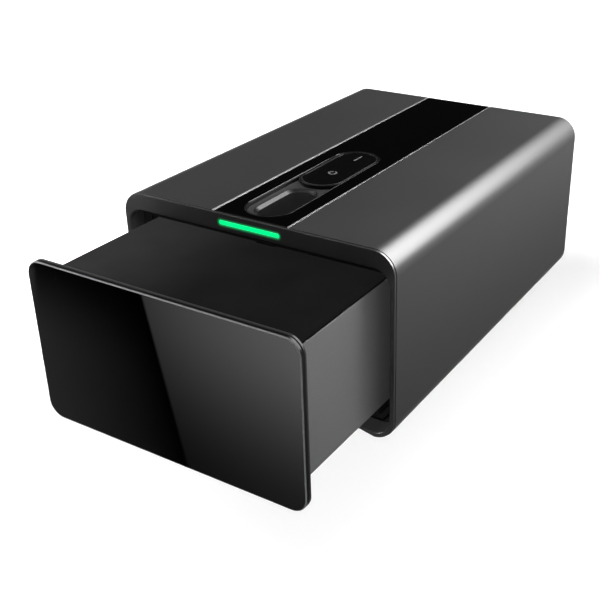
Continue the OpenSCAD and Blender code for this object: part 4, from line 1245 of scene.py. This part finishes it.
    def key_plate(self) -> None:
        """The rimmed key plate and its two hinge lugs."""
        top, y = self.key.high.z, self.key.middle.y
        base, field, inner = top - self.key_t, top - self.key_rim_h, self.key_rim_w
        rim = [(top, inner - 0.2), (top - 0.06, inner - 0.06), (top - 0.2, inner), (field + 0.1, inner)]
        steps = eased(base, top, 0.1, 0.5) + rim + [(field, inner + 0.15)]
        skin = Skin().solid(self.key.oval(Plane.XY), steps, (0,) * 5 + (1,) * 6 + (0,) * 3)
        for x in (-self.lug_x, self.lug_x):
            lug = Outline.box((x - 2, y - 2.5), (x + 2, y + 2.5), 0.4)
            skin.plate(lug, self.key.low.z, base + 0.5, (0.3, 0.0))
        self.fit(skin.thing("key_plate_gloss", KEY_GLOSS, RIM_SATIN), "key_black", "key_plate", Body.KEY)

    def marks(self) -> None:
        """The two lit marks: an open ring and a bar."""
        room = Room.of("key_marks")
        first, second = self.mark_spots
        centre, tip = (0.0, first), self.mark_line / 2
        mid = self.mark_r - tip
        gap = math.degrees(math.asin(self.mark_line / mid))
        start, end = 90 + gap, 450 - gap
        tips = arc(centre, mid, start, end, 1)
        points = arc(centre, self.mark_r, start, end, 40) + arc(tips[1], tip, end, end + 180, 8)
        points += arc(centre, self.mark_r - self.mark_line, end, start, 40)
        points += arc(tips[0], tip, start + 180, start + 360, 8)
        skin = Skin()
        for shape in (Outline.through(points), Outline.stadium(self.mark_line, self.mark_bar_l, (0.0, second))):
            skin.plate(shape, room.low.z, room.high.z + 0.03, (0.0, 0.02))
        self.fit(skin.thing("key_light_marks", MARK_LIGHT), "mark_light", "key_marks", Body.KEY)

    def light_bar(self) -> None:
        """The green light guide."""
        room = Room.of("light_guide")
        step = room.low.y + self.guide_step
        skin = Skin(Plane.XZ).plate(room.oval(Plane.XZ), room.low.y, step, (0.3, 0.0))
        skin.plate(room.oval(Plane.XZ, -2.8, -1.4), step, room.high.y)
        self.fit(skin.thing("light_bar_guide", BAR_LIGHT), "light_green", "light_guide")

    def build(self) -> None:
        """Builds the strip and all that shows in it."""
        self.strip()
        self.trims()
        self.control_tray()
        self.sensor()
        self.key_plate()
        self.marks()
        self.light_bar()


@dataclass
class Drawer(Assembly):
    """The drawer: glass front, frame, tray, deck, strike plate and liner. Millimetres."""

    body: Body = Body.DRAWER
    panel_r: float = 12.0
    bevel: float = 0.75
    groove_t: float = 0.6
    groove_inset: float = 2.5
    sheet_t: float = 1.2
    slot_half_w: float = 9.0
    slot_half_l: float = 5.0
    bolt_y: float = -142.5
    strike_ease: float = 1.2

    def __post_init__(self) -> None:
        """Reads the front's box, whose outline the glass and its frame share."""
        self.front = Room.of("glass_panel")
        self.front_edge = self.front.edge(self.panel_r, plane=Plane.XZ)

    def bolt_slot(self, ease: float, radius: float) -> Outline:
        """The opening for the lock bolt, drawn in by an ease."""
        half_w, half_l = self.slot_half_w - ease, self.slot_half_l - ease
        return Outline.box((-half_w, self.bolt_y - half_l), (half_w, self.bolt_y + half_l), radius)

    def glass(self) -> None:
        """The black glass with a polished, chamfered edge."""
        y0, y1, bevel = self.front.low.y, self.front.high.y, self.bevel
        steps = [(y0, bevel), (y0 + 0.05, 0.6), (y0 + 0.6, 0.05), (y0 + bevel, 0.0), (y1 - 0.3, 0.0), (y1, 0.3)]
        skin = Skin(Plane.XZ).solid(self.front_edge, steps, (1, 1, 1, 2, 2))
        self.fit(skin.thing("front_glass_plate", FRONT_GLASS, GLASS_EDGE, GLASS_SIDE), "front_glass", "glass_panel")

    def frame_plate(self) -> None:
        """The dark frame plate behind the glass, with the groove between them."""
        room = Room.of("panel_frame")
        lip = room.low.y + self.groove_t
        steps = [(room.low.y, self.groove_inset), (lip, self.groove_inset), *eased(lip, room.high.y, 0.35, 0.8)]
        skin = Skin(Plane.XZ).solid(self.front_edge, steps)
        self.fit(skin.thing("front_frame_plate", FRAME_PAINT), "frame_dark", "panel_frame")

    def tray(self) -> None:
        """The folded steel tray, open at the top."""
        room = Room.of("drawer_tray")
        wall, top, floor = self.sheet_t, room.high.z, room.low.z + self.sheet_t
        steps = eased(room.low.z, top, 1.0, 0.08) + [
            (top, wall - 0.4), (top - 0.12, wall - 0.12), (top - 0.4, wall), (floor + 0.8, wall),
            (floor + 0.23, wall + 0.23), (floor, wall + 0.8),
        ]
        piece = Skin().solid(room.edge(2.4, 8), steps).thing("tray_sheet", DRAWER_PAINT, INSIDE_SHADE)
        # The tray's inner faces take the painted shade.
        shade_inside(piece, room.middle * MM)
        self.fit(piece, "tray_grey", "drawer_tray")

    def deck(self) -> None:
        """The black deck over the tray's front, with the slot for the lock bolt."""
        low, high = Room.of("drawer_deck").low, Room.of("drawer_deck").high
        edge = Outline.cornered([(low.x, low.y, 0.8), (high.x, low.y, 0.8), (high.x, high.y, 3), (low.x, high.y, 3)])
        skin = Skin().plate(edge, low.z, high.z, (0.2, 0.5), [self.bolt_slot(0.0, 2.0)], (0.2, 0.3))
        self.fit(skin.thing("deck_sheet", DECK_PAINT), "frame_dark", "drawer_deck")

    def strike(self) -> None:
        """The steel strike plate under the deck."""
        slot = self.bolt_slot(self.strike_ease, 1.0)
        skin = Room.of("strike_plate").sheet(2.0, (0.3, 0.2), [slot], (0.2, 0.2))
        # Its near-black finish is painted shade.
        self.fit(skin.thing("strike_steel", STRIKE_SHADE), "hard_steel", "strike_plate")

    def liner(self) -> None:
        """The felt liner on the tray's floor."""
        skin = Room.of("tray_liner").sheet(1.5, (0.2, 0.8), fine=6)
        self.fit(skin.thing("liner_felt_sheet", LINER_FELT), "liner_cloth", "tray_liner")

    def build(self) -> None:
        """Builds every piece of the drawer."""
        self.glass()
        self.frame_plate()
        self.tray()
        self.deck()
        self.strike()
        self.liner()


@dataclass
class Works(Assembly):
    """The slides, gas spring, lock, electronics and fasteners, whose CAD shapes are kept."""

    def build(self) -> None:
        """Gives each kept node its better finish."""
        for finish, names in KEPT.items():
            for name in names.split():
                node = self.frame["nodes"][name]
                if not node.material_slots:
                    node.data.materials.append(None)
                for place in node.material_slots:
                    place.link = "OBJECT"
                    place.material = finish.material()
                LOG.info("%s: kept, finish %s", name, finish.name)


@dataclass
class Studio:
    """The camera, the pale floor, the soft lamps and the white surround. Lengths are in metres.

    Args:
        camera_spot: where the camera stands.
        yaw: its turn about the vertical, in radians.
        pitch: its tilt.
        roll: its lean.
        focal: its focal length in millimetres.
        shift: its shift, as the photograph is cropped.
        floor_half: half width of the floor.
        half_wide: half width of the object.
        level: the world's plain light.
        card_edge: two points on the right edge of the dark card that the drawer's glass mirrors.
        card_wide: how far left of its edge the card ends.
        card_near: how far ahead of the origin the card starts.
        card_fade: the run ahead over which its own glow fades.
        floor_fade: the run ahead over which the mirrored floor brightens out of its painted shade.
        side_fade: the run ahead over which the floor beside the object takes over.
        beside: the floor's brightness in the gloss of the object's sides, darkened near them as painted shade.
        shade_halo_box: middle along Y, half width and half length of the area round the object where the floor's white
            lift is weaker, which paints a faint shade there on top of its shadow.
        shade_halo_run: how far that painted shade fades outwards.
    """

    camera_spot: Colour = (0.380, -0.649, 0.3999)
    yaw: float = 0.5588
    pitch: float = -0.4511
    roll: float = -0.0147
    focal: float = 58.31
    shift: Point = (-0.075, -0.045)
    floor_half: float = 6.0
    half_wide: float = 0.115
    level: float = 0.15
    card_edge: tuple[Point, Point] = ((-0.1966, -0.4522), (0.0071, -0.2749))
    card_wide: Point = (0.09, 0.1)
    card_near: Point = (0.23, 0.26)
    card_fade: Point = (0.34, 0.46)
    floor_fade: Point = (0.262, 0.445)
    side_fade: Point = (0.12, 0.27)
    beside: float = 0.9
    shade_halo_box: Colour = (-0.05, 0.12, 0.22)
    shade_halo_run: float = 0.12

    def camera(self) -> None:
        """Places the camera at the photograph's viewing angle."""
        turn, lift = self.yaw, self.pitch
        ahead = Vector((-math.sin(turn) * math.cos(lift), math.cos(turn) * math.cos(lift), math.sin(lift)))
        level = Vector((math.cos(turn), math.sin(turn), 0.0))
        rise = level.cross(ahead)
        side = level * math.cos(self.roll) + rise * math.sin(self.roll)
        up = rise * math.cos(self.roll) - level * math.sin(self.roll)
        data = bpy.data.cameras.new("photo_view")
        data.sensor_fit = "HORIZONTAL"
        data.sensor_width = 36.0
        data.lens = self.focal
        data.shift_x, data.shift_y = self.shift
        data.clip_start, data.clip_end = 0.01, 50.0
        bpy.context.scene.camera = self.hang("photo_view", data, self.camera_spot, side, up, -ahead)

    @staticmethod
    def hang(name: str, data: Any, spot: Colour, side: Vector, up: Vector, back: Vector) -> bpy.types.Object:
        """Puts a camera or lamp at a spot, turned to three axes, and returns it."""
        made = bpy.data.objects.new(name, data)
        turned = Matrix((side, up, back)).transposed().to_4x4()
        made.matrix_world = Matrix.Translation(spot) @ turned
        bpy.context.scene.collection.objects.link(made)
        return made

    def lamp(
        self, name: str, spot: Colour, aim: Colour, size: Point, power: float, wide: Colour = X_WAY, sheen: bool = False
    ) -> None:
        """Hangs one soft lamp, which gives either sheen alone or a fill light without shadows.

        Args:
            name: the lamp's name.
            spot: where it hangs.
            aim: the point that it faces.
            size: its width and height.
            power: its power in watts.
            wide: the direction that its width runs in.
            sheen: whether it only gives sheen, and no plain light.
        """
        data = bpy.data.lights.new(name, "AREA")
        data.shape = "RECTANGLE"
        data.size, data.size_y = size
        data.energy = power
        data.use_shadow = sheen
        data.cycles.use_multiple_importance_sampling = sheen
        back = (Vector(spot) - Vector(aim)).normalized()
        rise = back.cross(Vector(wide)).normalized()
        lamp = self.hang(name, data, spot, rise.cross(back), rise, back)
        lamp.visible_diffuse = not sheen

    def surround(self) -> None:
        """White to the camera, a plain level to diffuse surfaces, and a dim room with a white horizon to gloss."""
        world = bpy.data.worlds.new("surround")
        bpy.context.scene.world = world
        net = Net(world, "ShaderNodeOutputWorld")
        height = net.along(Z_WAY, net.add("ShaderNodeTexCoord", out="Generated"))
        gloss, seen = net.rays()
        room = height.smooth(0.02, 0.16).between(WHITE, (0.01, 0.01, 0.0105))
        top = height.smooth(0.5, 0.75).between(room, (0.8, 0.8, 0.8))
        colour = seen.between(gloss.between((self.level,) * 3, top), WHITE)
        net.close(net.add("ShaderNodeBackground", {}, {"Color": colour, "Strength": 1.0}))

    def mirrored(self, net: Net) -> Wire:
        """The floor's brightness in gloss: a dark card painted on the floor that only gloss sees, in front of the
        drawer's left half, and painted shade where the floor darkens towards the object ahead of it and beside it."""
        (ax, ay), (bx, by) = self.card_edge
        long = math.hypot(bx - ax, by - ay)
        normal = (-(by - ay) / long, (bx - ax) / long, 0.0)
        away = net.along(normal) - (normal[0] * bx + normal[1] * by)
        ahead = 0 - net.along(Y_WAY)
        fade = ahead.smooth(*self.floor_fade)
        # Painted shade: the mirrored floor darkens towards the object.
        pale = (0.48 - away * 11.8).maths("MAXIMUM", 0.3).maths("MINIMUM", 1.75) * (0.13 + fade * 0.87)
        dark = (away * 2.5).maths("MAXIMUM", 0.0) * (1 - ahead.smooth(*self.card_fade) * 0.9)
        card = away.smooth(-0.0015, 0.0015) * (1 - away.smooth(*self.card_wide)) * ahead.smooth(*self.card_near)
        front = pale + (dark - pale) * card
        # Painted shade: beside the object the mirrored floor darkens towards its sides.
        apart = (net.along(X_WAY).maths("ABSOLUTE") - self.half_wide).smooth(0.0, 0.3)
        side = (0.38 + apart * 0.8) * self.beside
        return side + (front - side) * ahead.smooth(*self.side_fade)

    def floor(self) -> None:
        """A pale floor that keeps the shadow, with a painted faint shade round the object where its white lift is
        weaker; its gloss side is given by mirrored.
        """
        half = self.floor_half / MM
        skin = Skin()
        skin.cap(skin.ring(Outline.box((-half, -half), (half, half)), -0.3))
        floor = skin.thing("studio_floor")
        material = bpy.data.materials.new("studio_floor")
        net = Net(material, "ShaderNodeOutputMaterial")
        gloss, seen = net.rays()
        grain = net.noise(4.0).smooth(0.2, 0.8).between((0.68, 0.68, 0.68), (0.72, 0.72, 0.72))
        matt = net.add("ShaderNodeBsdfDiffuse", {}, {"Color": grain})
        middle, half_x, half_y = self.shade_halo_box
        across = (net.along(X_WAY).maths("ABSOLUTE") - half_x).maths("MAXIMUM", 0.0)
        along = ((net.along(Y_WAY) - middle).maths("ABSOLUTE") - half_y).maths("MAXIMUM", 0.0)
        far = (across * across + along * along).maths("SQRT").smooth(0.0, self.shade_halo_run)
        # Weaker lift near the object: a painted faint shade round it, on top of its real shadow.
        lift = net.add("ShaderNodeEmission", {}, {"Color": 0.4 + far * 0.6})
        lifted = net.add("ShaderNodeAddShader", {}, {0: matt, 1: lift})
        shown = net.add("ShaderNodeMixShader", {}, {0: seen, 1: matt, 2: lifted})
        shine = net.add("ShaderNodeEmission", {}, {"Color": self.mirrored(net)})
        net.close(net.add("ShaderNodeMixShader", {}, {0: gloss, 1: shown, 2: shine}))
        floor.data.materials.append(material)
        floor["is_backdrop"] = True

    def build(self) -> None:
        """Sets up the whole studio."""
        bpy.context.scene.view_settings.view_transform = "Standard"
        self.camera()
        self.surround()
        self.floor()
        self.lamp("rear_softbox", (0.85, 1.15, 1.15), (0.115, -0.05, 0.13), (2.0, 0.7), 130.0, (0.76, 0.0, -0.65), True)
        self.lamp("top_softbox", (-0.3, -0.2, 2.0), (0.0, 0.0, 0.0), (1.2, 1.2), 14.0)
        self.lamp("side_softbox", (1.9, -0.7, 0.6), (0.0, 0.0, 0.06), (0.9, 0.9), 4.6)
        self.lamp("left_softbox", (-0.6, -0.3, 0.45), (0.0, -0.2, 0.1), (0.4, 0.6), 5.0)


def corners() -> list[list[float]]:
    """The shown object's box as plain lists."""
    return [[float(part) for part in corner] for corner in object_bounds()]


def main() -> None:
    """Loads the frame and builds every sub-assembly in order."""
    logging.basicConfig(level=logging.INFO, format="%(name)s %(message)s")
    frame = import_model()
    Studio().build()
    for group in (Casing(frame), ControlStrip(frame), Drawer(frame), Works(frame)):
        LOG.info("building %s", type(group).__name__)
        group.build()


if __name__ == "__main__":
    main()
